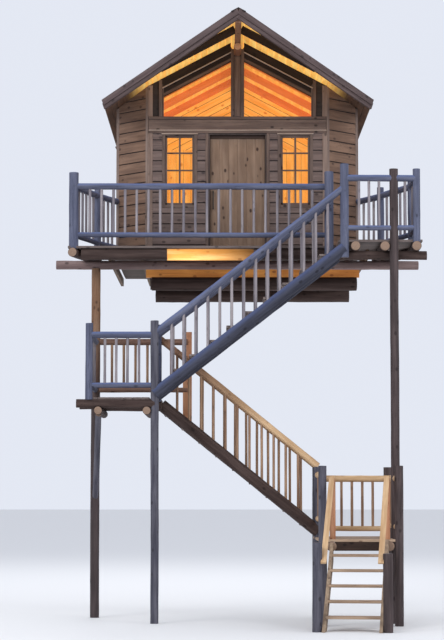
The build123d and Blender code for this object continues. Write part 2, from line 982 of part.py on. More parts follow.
with BuildPart() as bottom_stair_stringers:
    for side in (-1, 1):
        plank_plane = Plane(
            origin=stair_spot(side * plank_x - plank_t / 2, 0, 0),
            x_dir=stair_back,
            z_dir=stair_across,
        )
        plank_top_z = low_floor_z
        foot_run = plank_top_z / bottom_slope
        heel_run = (plank_top_z - plank_rise) / bottom_slope
        with BuildSketch(plank_plane) as plank:
            with BuildLine():
                Polyline(
                    (plank_depth, plank_top_z),
                    (0, plank_top_z),
                    (-foot_run, 0),
                    (-heel_run, 0),
                    (plank_depth, plank_top_z - plank_rise + plank_depth * bottom_slope),
                    close=True,
                )
            make_face()
        extrude(plank.sketch, amount=plank_t)
        block(
            (low_edge_x - 200, low_front_y, 0),
            (low_right_x + 200, low_front_y + 500, low_floor_z + 50),
            mode=Mode.SUBTRACT,
        )
    for step in range(1, bottom_risers):
        stair_tread(step, bottom_width + 2 * plank_housing, mode=Mode.SUBTRACT)
    cut_by_poles(foot_newel_runs)

with BuildPart() as bottom_stair_treads:
    for step in range(1, bottom_risers):
        stair_tread(step, bottom_width + 2 * plank_housing)

# Sawn handrails of the bottom stair, on squared newels that stand on the landing
with BuildPart() as bottom_stair_handrails:
    for side in (-1, 1):
        rail_plane = Plane(
            origin=stair_spot(side * plank_x - bottom_rail_w / 2, 0, 0),
            x_dir=stair_back,
            z_dir=stair_across,
        )
        top_z = low_floor_z + bottom_rail_rise
        end_run = foot_newel_run + 60
        with BuildSketch(rail_plane) as rail:
            with BuildLine():
                Polyline(
                    (stair_newel_back + stair_newel_size / 2, top_z),
                    (stair_newel_back + stair_newel_size / 2, top_z - bottom_rail_t),
                    (0, top_z - bottom_rail_t),
                    (-end_run, top_z - bottom_rail_t - end_run * bottom_slope),
                    (-end_run, top_z - end_run * bottom_slope),
                    (0, top_z),
                    close=True,
                )
            make_face()
        extrude(rail.sketch, amount=bottom_rail_w)
    cut_by_poles(foot_newel_runs)

# Cabin floor
cabin_outline = [
    (front_left, wall_y),
    (front_right, wall_y),
    (house_at(half_body), splay_y),
    (house_at(half_body), cabin_back_y),
    (house_at(-half_body), cabin_back_y),
    (house_at(-half_body), splay_y),
]
with BuildPart() as cabin_floor:
    slab(cabin_outline, deck_under_z, board_t)

inner_y = wall_y + wall_t


def front_wall_half(side):
    """Wall between the doorway and the corner, with its window cut through."""
    slab(
        [
            (house_at(side * door_half), wall_y),
            (house_at(side * half_front), wall_y),
            (house_at(side * (half_front - mitre)), inner_y),
            (house_at(side * door_half), inner_y),
        ],
        deck_floor_z,
        header_low_z - deck_floor_z,
    )
    block(
        (house_at(side * window_x - window_half), wall_y, window_low_z),
        (house_at(side * window_x + window_half), inner_y, window_top_z),
        mode=Mode.SUBTRACT,
    )


with BuildPart() as front_walls:
    front_wall_half(-1)
    front_wall_half(1)

# Header band over the door and the windows
with BuildPart() as front_wall_header:
    slab(
        [
            (front_left, wall_y),
            (front_right, wall_y),
            (front_right - mitre, inner_y),
            (front_left + mitre, inner_y),
        ],
        header_low_z,
        header_top_z - header_low_z,
    )

# Slanted walls beside the front
with BuildPart() as splay_walls:
    for side in (-1, 1):
        slab(
            [
                (house_at(side * half_front), wall_y),
                (house_at(side * half_body), splay_y),
                (house_at(side * (half_body - wall_t)), splay_y + mitre),
                (house_at(side * (half_front - mitre)), inner_y),
            ],
            deck_floor_z,
            ridge_top_z - deck_floor_z,
        )
    trim_to_roof()


# Side walls, from the slanted walls to the back wall
with BuildPart() as side_walls:
    for side in (-1, 1):
        slab(
            [
                (house_at(side * half_body), splay_y),
                (house_at(side * half_body), cabin_back_y - wall_t),
                (house_at(side * (half_body - wall_t)), cabin_back_y - wall_t),
                (house_at(side * (half_body - wall_t)), splay_y + mitre),
            ],
            deck_floor_z,
            ridge_top_z - deck_floor_z,
        )
    trim_to_roof()

ridge_beam_low_z = under_roof(ridge_beam_half) - ridge_beam_h
ridge_beam_front_y = prow_y + barge_t * 2


def cut_ridge_beam(gap=0):
    """Cut the ridge beam's section out of the part."""
    block(
        (house_at(-ridge_beam_half - gap), ridge_beam_front_y, ridge_beam_low_z - gap),
        (house_at(ridge_beam_half + gap), roof_back_y, ridge_top_z),
        mode=Mode.SUBTRACT,
    )


ridge_log_z = ridge_beam_low_z - ridge_log_d / 2
ridge_log_run = (
    (house_x, wall_y - ridge_log_out, ridge_log_z),
    (house_x, cabin_back_y, ridge_log_z),
    ridge_log_d,
)

# Back wall with its gable
with BuildPart() as back_wall:
    block(
        (house_at(-half_body), cabin_back_y - wall_t, deck_floor_z),
        (house_at(half_body), cabin_back_y, ridge_top_z),
    )
    trim_to_roof()
    cut_ridge_beam()
    cut_by_poles([ridge_log_run])

# Posts of the glazed gable: the centre post and one at each corner
with BuildPart() as gable_posts:
    block(
        (house_at(-centre_post_half), wall_y, header_top_z),
        (house_at(centre_post_half), inner_y, ridge_beam_low_z),
    )
    for side in (-1, 1):
        slab(
            [
                (house_at(side * gable_glass_half), wall_y),
                (house_at(side * half_front), wall_y),
                (house_at(side * (half_front - mitre)), inner_y),
                (house_at(side * gable_glass_half), inner_y),
            ],
            header_top_z,
            ridge_top_z - header_top_z,
        )
    trim_to_roof()
    cut_by_poles([ridge_log_run])


def glass_top(distance):
    """Height of the gable glass's sloped edge at a distance from the centre line."""
    return under_roof(distance) - glass_drop


# Rafters on the front wall, over the gable glass
with BuildPart() as gable_rafters:
    for side in (-1, 1):
        gable_slice(
            [
                (house_at(side * centre_post_half), glass_top(centre_post_half)),
                (house_at(side * gable_glass_half), glass_top(gable_glass_half)),
                (house_at(side * gable_glass_half), under_roof(gable_glass_half)),
                (house_at(side * centre_post_half), under_roof(centre_post_half)),
            ],
            wall_y,
            wall_t,
        )

# Glass: two panes in the gable, in the middle of the wall, and one behind each window's sash
glass_y = wall_y + wall_t / 2 - glass_t / 2
with BuildPart() as glass_panes:
    for side in (-1, 1):
        gable_slice(
            [
                (house_at(side * centre_post_half), header_top_z),
                (house_at(side * gable_glass_half), header_top_z),
                (house_at(side * gable_glass_half), glass_top(gable_glass_half)),
                (house_at(side * centre_post_half), glass_top(centre_post_half)),
            ],
            glass_y,
            glass_t,
        )
        left_x = house_at(side * window_x) - window_half
        right_x = house_at(side * window_x) + window_half
        block((left_x, wall_y + sash_t, window_low_z), (right_x, wall_y + sash_t + glass_t, window_top_z))

# Window frames: a casing on the wall's face and a sash in the opening
with BuildPart() as window_frames:
    for side in (-1, 1):
        left_x = house_at(side * window_x) - window_half
        right_x = house_at(side * window_x) + window_half
        block(
            (left_x - casing_w, wall_y - casing_t, window_low_z - casing_w),
            (right_x + casing_w, wall_y, window_top_z + casing_w),
        )
        block((left_x, wall_y, window_low_z), (right_x, wall_y + sash_t, window_top_z))
        block(
            (left_x + sash_w, wall_y - casing_t, window_low_z + sash_w),
            (right_x - sash_w, wall_y + sash_t, window_top_z - sash_w),
            mode=Mode.SUBTRACT,
        )

# Doorway lining
with BuildPart() as door_jambs:
    for side in (-1, 1):
        near = side * (door_half - jamb_t)
        far = side * door_half
        block(
            (house_at(min(near, far)), wall_y, deck_floor_z),
            (house_at(max(near, far)), inner_y, header_low_z - jamb_t),
        )

with BuildPart() as door_head:
    block(
        (house_at(-door_half), wall_y, header_low_z - jamb_t),
        (house_at(door_half), inner_y, header_low_z),
    )

# Plank door, flush with the wall's inner face, hung at its right edge
leaf_half = door_half - jamb_t - door_gap
leaf_y = inner_y - door_t
with BuildPart() as door:
    block(
        (house_at(-leaf_half), leaf_y, deck_floor_z + 2 * door_gap),
        (house_at(leaf_half), inner_y, header_low_z - jamb_t - door_gap),
    )

# Hinges on the inner face: fixed barrels and pins on the frame, middle barrels on the leaf
hinge_x = house_at(leaf_half + door_gap / 2)
hinge_y = inner_y + hinge_d / 2
hinge_zs = [
    deck_floor_z + hinge_end,
    (deck_floor_z + header_low_z) / 2,
    header_low_z - hinge_end,
]
barrel_h = hinge_h / 3
with BuildPart() as hinge_pins:
    for z in hinge_zs:
        for low_z in (z - hinge_h / 2, z + barrel_h / 2):
            pole(
                (hinge_x, hinge_y, low_z),
                (hinge_x, hinge_y, low_z + barrel_h),
                hinge_d,
                sides=rail_sides,
            )
            block(
                (hinge_x, inner_y, low_z),
                (hinge_x + hinge_w, inner_y + hinge_t, low_z + barrel_h),
            )
        pole(
            (hinge_x, hinge_y, z - hinge_h / 2),
            (hinge_x, hinge_y, z + hinge_h / 2),
            hinge_pin_d,
            sides=rail_sides,
        )

with BuildPart() as hinge_leaves:
    for z in hinge_zs:
        low_z = z - barrel_h / 2 + hinge_play
        high_z = z + barrel_h / 2 - hinge_play
        pole((hinge_x, hinge_y, low_z), (hinge_x, hinge_y, high_z), hinge_d, sides=rail_sides)
        block((hinge_x - hinge_w, inner_y, low_z), (hinge_x, inner_y + hinge_t, high_z))
        pole(
            (hinge_x, hinge_y, low_z),
            (hinge_x, hinge_y, high_z),
            hinge_pin_d + 2 * hinge_play,
            sides=rail_sides,
            mode=Mode.SUBTRACT,
        )

# Pull on the door's outer face, a bar on two arms
pull_x = house_at(-leaf_half + pull_inset)
pull_z = (deck_floor_z + header_low_z) / 2 - pull_drop
with BuildPart() as door_pull:
    pole(
        (pull_x, leaf_y - pull_out, pull_z - pull_h / 2 - pull_d),
        (pull_x, leaf_y - pull_out, pull_z + pull_h / 2 + pull_d),
        pull_d,
        sides=rail_sides,
    )
    for z in (pull_z - pull_h / 2, pull_z + pull_h / 2):
        pole((pull_x, leaf_y - pull_out, z), (pull_x, leaf_y, z), pull_arm_d, sides=rail_sides)

# Roof: a covering on a board lining, cut to the prow at the front


def roof_layer(side, top_drop, low_drop):
    """One side of a roof layer between two depths below the covering's top."""
    gable_slice(
        [
            (house_x, ridge_top_z - top_drop),
            (house_at(side * eave_half), ridge_top_z - top_drop - roof_slope * eave_half),
            (house_at(side * eave_half), ridge_top_z - low_drop - roof_slope * eave_half),
            (house_x, ridge_top_z - low_drop),
        ],
        prow_y,
        roof_back_y - prow_y,
    )
    slab(
        [
            (house_x, prow_y),
            (house_at(side * (eave_half + cut_room)), prow_y),
            (house_at(side * (eave_half + cut_room)), eave_front_y + cut_room * prow_turn),
        ],
        deck_floor_z,
        ridge_top_z - deck_floor_z + cut_room,
        mode=Mode.SUBTRACT,
    )


with BuildPart() as roof_covering_left:
    roof_layer(-1, 0, covering_drop)

with BuildPart() as roof_covering_right:
    roof_layer(1, 0, covering_drop)

with BuildPart() as roof_boards_left:
    roof_layer(-1, covering_drop, under_drop)

with BuildPart() as roof_boards_right:
    roof_layer(1, covering_drop, under_drop)

# Barge boards along the two slanted front edges and across the back
prow_run = sqrt(eave_half**2 + (eave_front_y - prow_y) ** 2)
prow_fall = roof_slope * eave_half / prow_run
with BuildPart() as barge_boards:
    for side in (-1, 1):
        along = Vector(side * eave_half, eave_front_y - prow_y, 0).normalized()
        inward = Vector(-side * along.Y, side * along.X, 0)
        barge_plane = Plane(
            origin=Vector(house_x, prow_y, 0), x_dir=along, z_dir=along.cross(Vector(0, 0, 1))
        )
        with BuildSketch(barge_plane) as barge:
            with BuildLine():
                Polyline(
                    (0, under_ridge_z - barge_h),
                    (prow_run, under_ridge_z - barge_h - prow_fall * prow_run),
                    (prow_run, under_ridge_z + cut_room - prow_fall * prow_run),
                    (0, under_ridge_z + cut_room),
                    close=True,
                )
            make_face()
        extrude(barge.sketch, amount=-side * barge_t)
        gable_slice(
            [
                (house_at(side * ridge_beam_half), under_roof(ridge_beam_half)),
                (house_at(side * eave_half), under_roof(eave_half)),
                (house_at(side * eave_half), under_roof(eave_half) - barge_h),
                (house_at(side * ridge_beam_half), under_roof(ridge_beam_half) - barge_h),
            ],
            roof_back_y - barge_t,
            barge_t,
        )
    trim_to_roof()
    block((house_at(-1), prow_y - 10, 0), (house_at(1), prow_y + 200, ridge_top_z), mode=Mode.SUBTRACT)
    cut_ridge_beam()

# Ridge beam from the prow to the back
with BuildPart() as ridge_beam:
    block(
        (house_at(-ridge_beam_half), ridge_beam_front_y, ridge_beam_low_z),
        (house_at(ridge_beam_half), roof_back_y, ridge_top_z),
    )
    trim_to_roof()

# Log below it, from outside the gable to the back wall
with BuildPart() as ridge_log:
    pole(*ridge_log_run)


def rafter_pair(low_y, thickness, depth, reach_out):
    """Two rafters under the lining, from the ridge beam out to a distance."""
    for side in (-1, 1):
        gable_slice(
            [
                (house_at(side * ridge_beam_half), under_roof(ridge_beam_half)),
                (house_at(side * reach_out), under_roof(reach_out)),
                (house_at(side * reach_out), under_roof(reach_out) - depth),
                (house_at(side * ridge_beam_half), under_roof(ridge_beam_half) - depth),
            ],
            low_y,
            thickness,
        )


# Rafters: one pair in the front overhang, cut to the inside of the barge boards, the rest indoors
prow_shift = barge_t * prow_run / (eave_front_y - prow_y)
with BuildPart() as rafters:
    rafter_pair(fly_rafter_y, fly_rafter_t, fly_rafter_h, eave_half)
    for side in (-1, 1):
        slab(
            [
                (house_at(-side * prow_shift), prow_y),
                (house_at(side * (eave_half * 2)), prow_y),
                (house_at(side * (eave_half * 2)), 2 * eave_front_y - prow_y),
                (house_at(side * (eave_half * 2 - prow_shift)), 2 * eave_front_y - prow_y),
            ],
            deck_floor_z,
            ridge_top_z - deck_floor_z,
            mode=Mode.SUBTRACT,
        )
    for step in range(1, rafter_count + 1):
        rafter_pair(
            wall_y + step * rafter_spacing - rafter_t / 2, rafter_t, rafter_h, half_body - wall_t
        )

# Label and write each piece
pieces = {
    "main_post": main_post,
    "ground_posts": ground_posts,
    "main_beam": main_beam,
    "carrying_logs": carrying_logs,
    "sawn_beams": sawn_beams,
    "deck_joists": deck_joists,
    "rim_logs": rim_logs,
    "front_fascia": front_fascia,
    "bay_logs": bay_logs,
    "bay_beam": bay_beam,
    "deck_floor": deck_floor,
    "deck_rail_posts": deck_rail_posts,
    "deck_rail_front": deck_rail_front,
    "deck_rail_sides": deck_rail_sides,
    "bay_rails": bay_rails,
    "mid_landing_floor": mid_landing_floor,
    "mid_landing_logs": mid_landing_logs,
    "mid_landing_cross_logs": mid_landing_cross_logs,
    "mid_landing_newels": mid_landing_newels,
    "mid_landing_rails": mid_landing_rails,
    "sawn_newels": sawn_newels,
    "landing_brace": landing_brace,
    "upper_flight_stringers": upper_flight_stringers,
    "upper_flight_treads": upper_flight_treads,
    "upper_flight_rails": upper_flight_rails,
    "lower_flight_stringers": lower_flight_stringers,
    "lower_flight_treads": lower_flight_treads,
    "lower_flight_rails": lower_flight_rails,
    "low_landing_floor": low_landing_floor,
    "low_landing_beams": low_landing_beams,
    "low_landing_rails": low_landing_rails,
    "bottom_stair_stringers": bottom_stair_stringers,
    "bottom_stair_treads": bottom_stair_treads,
    "bottom_stair_handrails": bottom_stair_handrails,
    "cabin_floor": cabin_floor,
    "front_walls": front_walls,
    "front_wall_header": front_wall_header,
    "splay_walls": splay_walls,
    "side_walls": side_walls,
    "back_wall": back_wall,
    "gable_posts": gable_posts,
    "gable_rafters": gable_rafters,
    "window_frames": window_frames,
    "glass_panes": glass_panes,
    "door_jambs": door_jambs,
    "door_head": door_head,
    "hinge_pins": hinge_pins,
    "hinge_leaves": hinge_leaves,
    "door": door,
    "door_pull": door_pull,
    "roof_covering_left": roof_covering_left,
    "roof_covering_right": roof_covering_right,
    "roof_boards_left": roof_boards_left,
    "roof_boards_right": roof_boards_right,
    "barge_boards": barge_boards,
    "ridge_beam": ridge_beam,
    "ridge_log": ridge_log,
    "rafters": rafters,
}
for name, piece in pieces.items():
    piece.part.label = name
    export_step(piece.part, f"parts/{name}.step")
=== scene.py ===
import math
import random

import bmesh
import bpy
from mathutils import Matrix, Vector


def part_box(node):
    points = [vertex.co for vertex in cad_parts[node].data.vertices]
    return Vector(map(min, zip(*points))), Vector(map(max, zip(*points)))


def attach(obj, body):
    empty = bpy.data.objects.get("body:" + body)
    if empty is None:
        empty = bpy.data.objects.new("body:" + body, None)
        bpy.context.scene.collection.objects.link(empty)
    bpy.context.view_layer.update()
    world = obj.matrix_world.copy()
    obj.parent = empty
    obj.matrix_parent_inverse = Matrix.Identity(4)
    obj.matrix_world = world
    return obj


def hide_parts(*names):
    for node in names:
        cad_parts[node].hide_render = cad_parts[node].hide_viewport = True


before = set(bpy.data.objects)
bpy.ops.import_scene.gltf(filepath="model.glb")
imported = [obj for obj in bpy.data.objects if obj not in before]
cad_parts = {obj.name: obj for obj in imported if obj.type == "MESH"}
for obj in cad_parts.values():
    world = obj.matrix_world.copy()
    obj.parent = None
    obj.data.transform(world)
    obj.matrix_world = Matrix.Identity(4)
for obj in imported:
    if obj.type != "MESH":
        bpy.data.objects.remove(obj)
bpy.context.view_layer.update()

# A tree house of peeled logs and rough-sawn boards. Metres; the front faces -Y.

chance = random.Random(7)
HOUSE = "house"
DOOR = "door"

# Camera
PHOTO_FOCAL_PX = 2138
PHOTO_HEIGHT_PX = 640
SENSOR_MM = 36
EYE = Vector((2.131, -36.000, 2.120))
TILT_UP = math.radians(4.55)

# Levels and lines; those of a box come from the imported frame
MID_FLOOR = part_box("mid_landing_floor")[1].z
LOW_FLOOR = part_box("low_landing_floor")[1].z
DECK_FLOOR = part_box("deck_floor")[1].z
BOARD_T = DECK_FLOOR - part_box("deck_floor")[0].z
HOUSE_X = (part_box("back_wall")[0].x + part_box("back_wall")[1].x) / 2
WALL_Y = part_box("front_walls")[0].y
BACK_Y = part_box("back_wall")[1].y
RIDGE_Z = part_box("roof_covering_left")[1].z
HEADER_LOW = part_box("front_wall_header")[0].z
HEADER_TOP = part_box("front_wall_header")[1].z
FRONT_ROW = -1.640
UPPER_INNER = -0.880
LOWER_OUTER = -0.730
LANDING_MIDDLE = (UPPER_INNER + LOWER_OUTER) / 2
BACK_ROW = 0.0
FRONT_RAIL = -0.680

# Newels and posts
LANDING_LEFT_X = -0.010
LANDING_POST_X = 1.050
INNER_NEWEL_X = 1.060
REAR_NEWEL_X = 1.547
LOWER_NEWEL_X = 3.710
LOW_RIGHT_X = 4.910
LOW_SIDE_Y = -2.300
DECK_LEFT_X = -0.335
DECK_CORNER_X = 3.905
BAY_NEWEL_X = 4.110
BAY_RIGHT_X = 5.280
REAR_LEFT = (0.0, 0.500)
REAR_RIGHT = (4.860, 0.500)

# Edges of the boarded floors
DECK_FRONT_Y = -0.745
DECK_RIGHT_X = 5.375
LOW_FLOOR_RIGHT_X = 4.850
LANDING_EDGE_X = 1.135
FLOOR_BOARD_W = 0.140
FLOOR_GAP = 0.006

# Poles
LOG_SIDES = 20
SLIM_SIDES = 10
RING_SPACING = 0.16
MAIN_POST_D = 0.150
LANDING_POST_D = 0.130
TALL_POST_D = 0.140
NEWEL_D = 0.150
SLIM_NEWEL_D = 0.120
CORNER_NEWEL_D = 0.158
BEAM_D = 0.150
RIM_D = 0.200
SMALL_LOG_D = 0.156
LANDING_LOG_D = 0.136
CARRYING_D = 0.240
BAY_BEAM_D = 0.146
CROSS_LOG_D = 0.130
RIDGE_LOG_D = 0.130
BRACE_D = 0.100
STRINGER_D = 0.190
RAIL_D = 0.108
LOWER_RAIL_D = 0.086
BALUSTER_D = 0.046
BALUSTER_SPACING = 0.200
LOG_UNEVEN = 0.008
LOG_BOW = 0.012
SLIM_UNEVEN = 0.005
SLIM_BOW = 0.006
NEWEL_TOP = 1.230
LOW_NEWEL_TOP = 1.150
RAIL_HEIGHT = 1.000
LOWER_RAIL_HEIGHT = 0.190
HEWN = 0.008
EDGE_SOFT = 0.003
END_INSET = 0.03
END_ROUND = 0.02
GRAIN_SHIFT = 9

# Flights
UPPER_EDGE_X = 1.020
LOWER_EDGE_X = LANDING_EDGE_X
BAY_EDGE_X = 4.020
LOW_EDGE_X = 3.660
UPPER_RISERS = 11
LOWER_RISERS = 10
UPPER_RISE = (DECK_FLOOR - MID_FLOOR) / UPPER_RISERS
UPPER_GOING = (BAY_EDGE_X - UPPER_EDGE_X) / (UPPER_RISERS - 1)
LOWER_RISE = (MID_FLOOR - LOW_FLOOR) / LOWER_RISERS
LOWER_GOING = (LOW_EDGE_X - LOWER_EDGE_X) / (LOWER_RISERS - 1)
UPPER_SLOPE = UPPER_RISE / UPPER_GOING
LOWER_SLOPE = LOWER_RISE / LOWER_GOING
UPPER_DROP = 0.206
UPPER_RAIL_RISE = 0.780
LOWER_DROP = 0.090
LOWER_RAIL_RISE = 0.980
TREAD_T = 0.040
TREAD_DEPTH = 0.260
NOSING = 0.020
TREAD_SOFT = 0.006

# Bottom stair, in its own turned plane
LOW_FRONT_Y = -2.340
BOTTOM_X = 4.286
BOTTOM_TURN = math.radians(8)
BOTTOM_RISERS = 6
BOTTOM_GOING = 0.260
BOTTOM_RISE = LOW_FLOOR / BOTTOM_RISERS
BOTTOM_SLOPE = BOTTOM_RISE / BOTTOM_GOING
BOTTOM_WIDTH = 0.810
PLANK_T = 0.050
PLANK_X = BOTTOM_WIDTH / 2 + PLANK_T / 2
FOOT_NEWEL_RUN = 1.440
FOOT_NEWEL_TOPS = (1.330, 1.170)
ACROSS = Vector((math.cos(BOTTOM_TURN), -math.sin(BOTTOM_TURN), 0))
BACKWARD = Vector((math.sin(BOTTOM_TURN), math.cos(BOTTOM_TURN), 0))

# Cabin and roof
HALF_FRONT = 1.540
HALF_BODY = 2.100
SPLAY_Y = WALL_Y + HALF_BODY - HALF_FRONT
WALL_T = 0.120
DOOR_HALF = 0.505
WINDOW_HALF = 0.250
CASING_W = 0.055
CASING_PROUD = 0.022
WINDOW_X = 1.000
WINDOW_LOW = 7.033
WINDOW_TOP = 8.238
ROOF_SLOPE = 0.53
ROOF_ANGLE = math.atan(ROOF_SLOPE)
EAVE_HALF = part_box("roof_covering_right")[1].x - HOUSE_X
PROW_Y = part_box("roof_covering_left")[0].y
EAVE_FRONT_Y = 0.100
ROOF_BACK_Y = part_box("roof_covering_left")[1].y
COVERING_T = 0.034
LINING_T = 0.025
STRETCH = math.hypot(1, ROOF_SLOPE)
UNDER_RIDGE = RIDGE_Z - (COVERING_T + LINING_T) * STRETCH
FLY_RAFTER_Y = -0.605
BEAM_HALF = 0.05
SIDING_PITCH = 0.183
SIDING_T = 0.018
SIDING_GAP = 0.016
SIDING_LEAN = 0.008
LEAST_SIDING = 0.02
CORNER_PROUD = 0.024
CORNER_INNER = HALF_FRONT - 0.07
CASING_EDGE = DOOR_HALF + 0.05
HALF_JOINT = 0.001
PANELLING_W = 0.140
PANELLING_T = 0.008
PANELLING_GAP = 0.004


def at(distance):
    """X of a point to the right of the house's centre line."""
    return HOUSE_X + distance


def across(side, near, far):
    """The X of two distances on one side of the centre line, the lower X first."""
    return sorted((at(side * near), at(side * far)))


def under_roof(distance):
    """Height of the lining's underside at a distance from the ridge."""
    return UNDER_RIDGE - ROOF_SLOPE * abs(distance)


def roof_spot(side, distance, y, drop):
    """A point some way below the lining, at a distance from the ridge on one side."""
    return Vector((at(side * distance), y, under_roof(distance) - drop))


def roof_axes(side):
    """The directions down one side of the roof and out of it."""
    return Vector((side, 0, -ROOF_SLOPE)).normalized(), Vector((side * ROOF_SLOPE, 0, 1)).normalized()


def slanted_wall(side):
    """A slanted corner wall: its two ends, the direction along it and the one out of it."""
    front = Vector((at(side * HALF_FRONT), WALL_Y, 0))
    rear = Vector((at(side * HALF_BODY), SPLAY_Y, 0))
    along = (rear - front).normalized()
    return front, rear, along, Vector((along.y * side, -along.x * side, 0))


def prow_normal(side):
    """The direction out of the roof's slanted front edge."""
    return Vector((side * (EAVE_FRONT_Y - PROW_Y), -EAVE_HALF, 0)).normalized()


def strips(first, last, width, gap):
    """The near and far edges of boards laid side by side until a limit."""
    near = first
    while near < last:
        yield near, near + width - gap
        near += width


# Shader helpers

def set_values(node, values):
    """Give some of a node's sockets their values."""
    for name, value in (values or {}).items():
        node.inputs[name].default_value = value


def new_node(tree, kind, values=None, **settings):
    """A shader node with its settings and socket values."""
    node = tree.nodes.new(kind)
    for name, value in settings.items():
        setattr(node, name, value)
    set_values(node, values)
    return node


def new_material(name, values=None):
    """A material with its shader's own values, its node tree and its shader."""
    material = bpy.data.materials.new(name)
    material.use_nodes = True
    shader = material.node_tree.nodes["Principled BSDF"]
    set_values(shader, values)
    return material, material.node_tree, shader


def feed(tree, socket, value):
    """Link a socket to another one, or give it a number or a colour."""
    if isinstance(value, bpy.types.NodeSocket):
        tree.links.new(value, socket)
    else:
        socket.default_value = (*value, 1) if isinstance(value, tuple) else value


def raise_by(tree, height, shader, strength, distance):
    """Bump from a height."""
    raised = new_node(tree, "ShaderNodeBump", {"Strength": strength, "Distance": distance})
    tree.links.new(height, raised.inputs["Height"])
    tree.links.new(raised.outputs["Normal"], shader.inputs["Normal"])


def object_place(tree):
    """The place in the object's own space."""
    return new_node(tree, "ShaderNodeTexCoord").outputs["Object"]


def parts_of(tree, vector):
    """The X, Y and Z of a vector, as sockets by name."""
    node = new_node(tree, "ShaderNodeSeparateXYZ")
    tree.links.new(vector, node.inputs[0])
    return node.outputs


def facing(tree):
    """The parts of the surface's direction."""
    return parts_of(tree, new_node(tree, "ShaderNodeNewGeometry").outputs["Normal"])


def sharpen(tree, value, low, high):
    """A value spread from 0 to 1 between two levels."""
    ramp = new_node(tree, "ShaderNodeMapRange", {"From Min": low, "From Max": high})
    ramp.interpolation_type = "SMOOTHSTEP"
    tree.links.new(value, ramp.inputs["Value"])
    return ramp.outputs["Result"]


def arithmetic(tree, operation, first, second):
    """A math node on two sockets or numbers."""
    node = new_node(tree, "ShaderNodeMath", operation=operation)
    for socket, value in zip(node.inputs, (first, second)):
        feed(tree, socket, value)
    return node.outputs[0]


def blended(tree, factor, first, second):
    """A mix of two colours by a factor; each may be a socket or a value."""
    node = new_node(tree, "ShaderNodeMix", data_type="RGBA")
    colour_inputs = [socket for socket in node.inputs if socket.type == "RGBA"]
    factor_input = [socket for socket in node.inputs if socket.type == "VALUE"][0]
    for socket, value in zip((factor_input, *colour_inputs), (factor, first, second)):
        feed(tree, socket, value)
    return [socket for socket in node.outputs if socket.type == "RGBA"][0]


def stretched_noise(tree, place, stretch, detail, roughness=0.55):
    """Noise on a place, stretched along the grain."""
    mapping = new_node(tree, "ShaderNodeMapping", {"Scale": stretch})
    tree.links.new(place, mapping.inputs["Vector"])
    noise = new_node(
        tree, "ShaderNodeTexNoise", {"Scale": 1.0, "Detail": detail, "Roughness": roughness}
    )
    tree.links.new(mapping.outputs["Vector"], noise.inputs["Vector"])
    return noise.outputs["Fac"]


def make_timber_group():
    """Weathered timber: fibres, streaks, drying cracks and knots along the third axis of a place."""
    group = bpy.data.node_groups.new("weathered_timber", "ShaderNodeTree")
    for names, direction, kind in (
        (("Place",), "INPUT", "Vector"),
        (("Wood", "Pale", "Dark"), "INPUT", "Color"),
        (("Streaks", "Cracks", "Knots"), "INPUT", "Float"),
        (("Colour",), "OUTPUT", "Color"),
        (("Height", "Dull"), "OUTPUT", "Float"),
    ):
        for name in names:
            group.interface.new_socket(name, in_out=direction, socket_type="NodeSocket" + kind)
    given = group.nodes.new("NodeGroupInput").outputs
    result = group.nodes.new("NodeGroupOutput").inputs
    place = given["Place"]

    def times(first, second):
        return arithmetic(group, "MULTIPLY", first, second)

    def noise(*settings):
        return stretched_noise(group, place, *settings)

    fibres = noise((70, 70, 5), 5)
    streaks = sharpen(group, noise((16, 16, 1.2), 4), 0.36, 0.66)
    patches = sharpen(group, noise((3, 3, 1.4), 3), 0.35, 0.7)
    off_line = arithmetic(group, "SUBTRACT", noise((26, 26, 0.8), 3, 0.7), 0.5)
    cracks = sharpen(group, arithmetic(group, "ABSOLUTE", off_line, 0), 0.012, 0.0)
    broken = sharpen(group, noise((5, 5, 1.0), 2), 0.45, 0.6)
    cracks = times(times(cracks, broken), given["Cracks"])

    spots = new_node(group, "ShaderNodeMapping", {"Scale": (7, 7, 4.5)})
    group.links.new(place, spots.inputs["Vector"])
    cells = new_node(group, "ShaderNodeTexVoronoi", {"Scale": 1.0, "Randomness": 1.0})
    group.links.new(spots.outputs["Vector"], cells.inputs["Vector"])
    knots = times(sharpen(group, cells.outputs["Distance"], 0.20, 0.10), given["Knots"])

    colour = blended(group, times(streaks, given["Streaks"]), given["Wood"], given["Pale"])
    darker = times(arithmetic(group, "SUBTRACT", 1, fibres), 0.55)
    for amount in (times(darker, patches), cracks, knots):
        colour = blended(group, amount, colour, given["Dark"])
    height = arithmetic(group, "SUBTRACT", times(fibres, 0.5), cracks)
    height = arithmetic(group, "ADD", height, times(knots, 0.4))
    dull = arithmetic(group, "ADD", 0.68, times(fibres, 0.25))
    for name, value in (("Colour", colour), ("Height", height), ("Dull", dull)):
        group.links.new(value, result[name])
    return group


TIMBER = make_timber_group()


def grain_place(tree, along):
    """The place that the grain follows: the piece's own, or object space turned to an axis."""
    if along == "own":
        return new_node(tree, "ShaderNodeAttribute", attribute_name="grain_place").outputs["Vector"]
    turn = {"x": (0, math.pi / 2, 0), "y": (math.pi / 2, 0, 0), "z": (0, 0, 0)}[along]
    mapping = new_node(tree, "ShaderNodeMapping", {"Rotation": turn})
    tree.links.new(object_place(tree), mapping.inputs["Vector"])
    return mapping.outputs["Vector"]


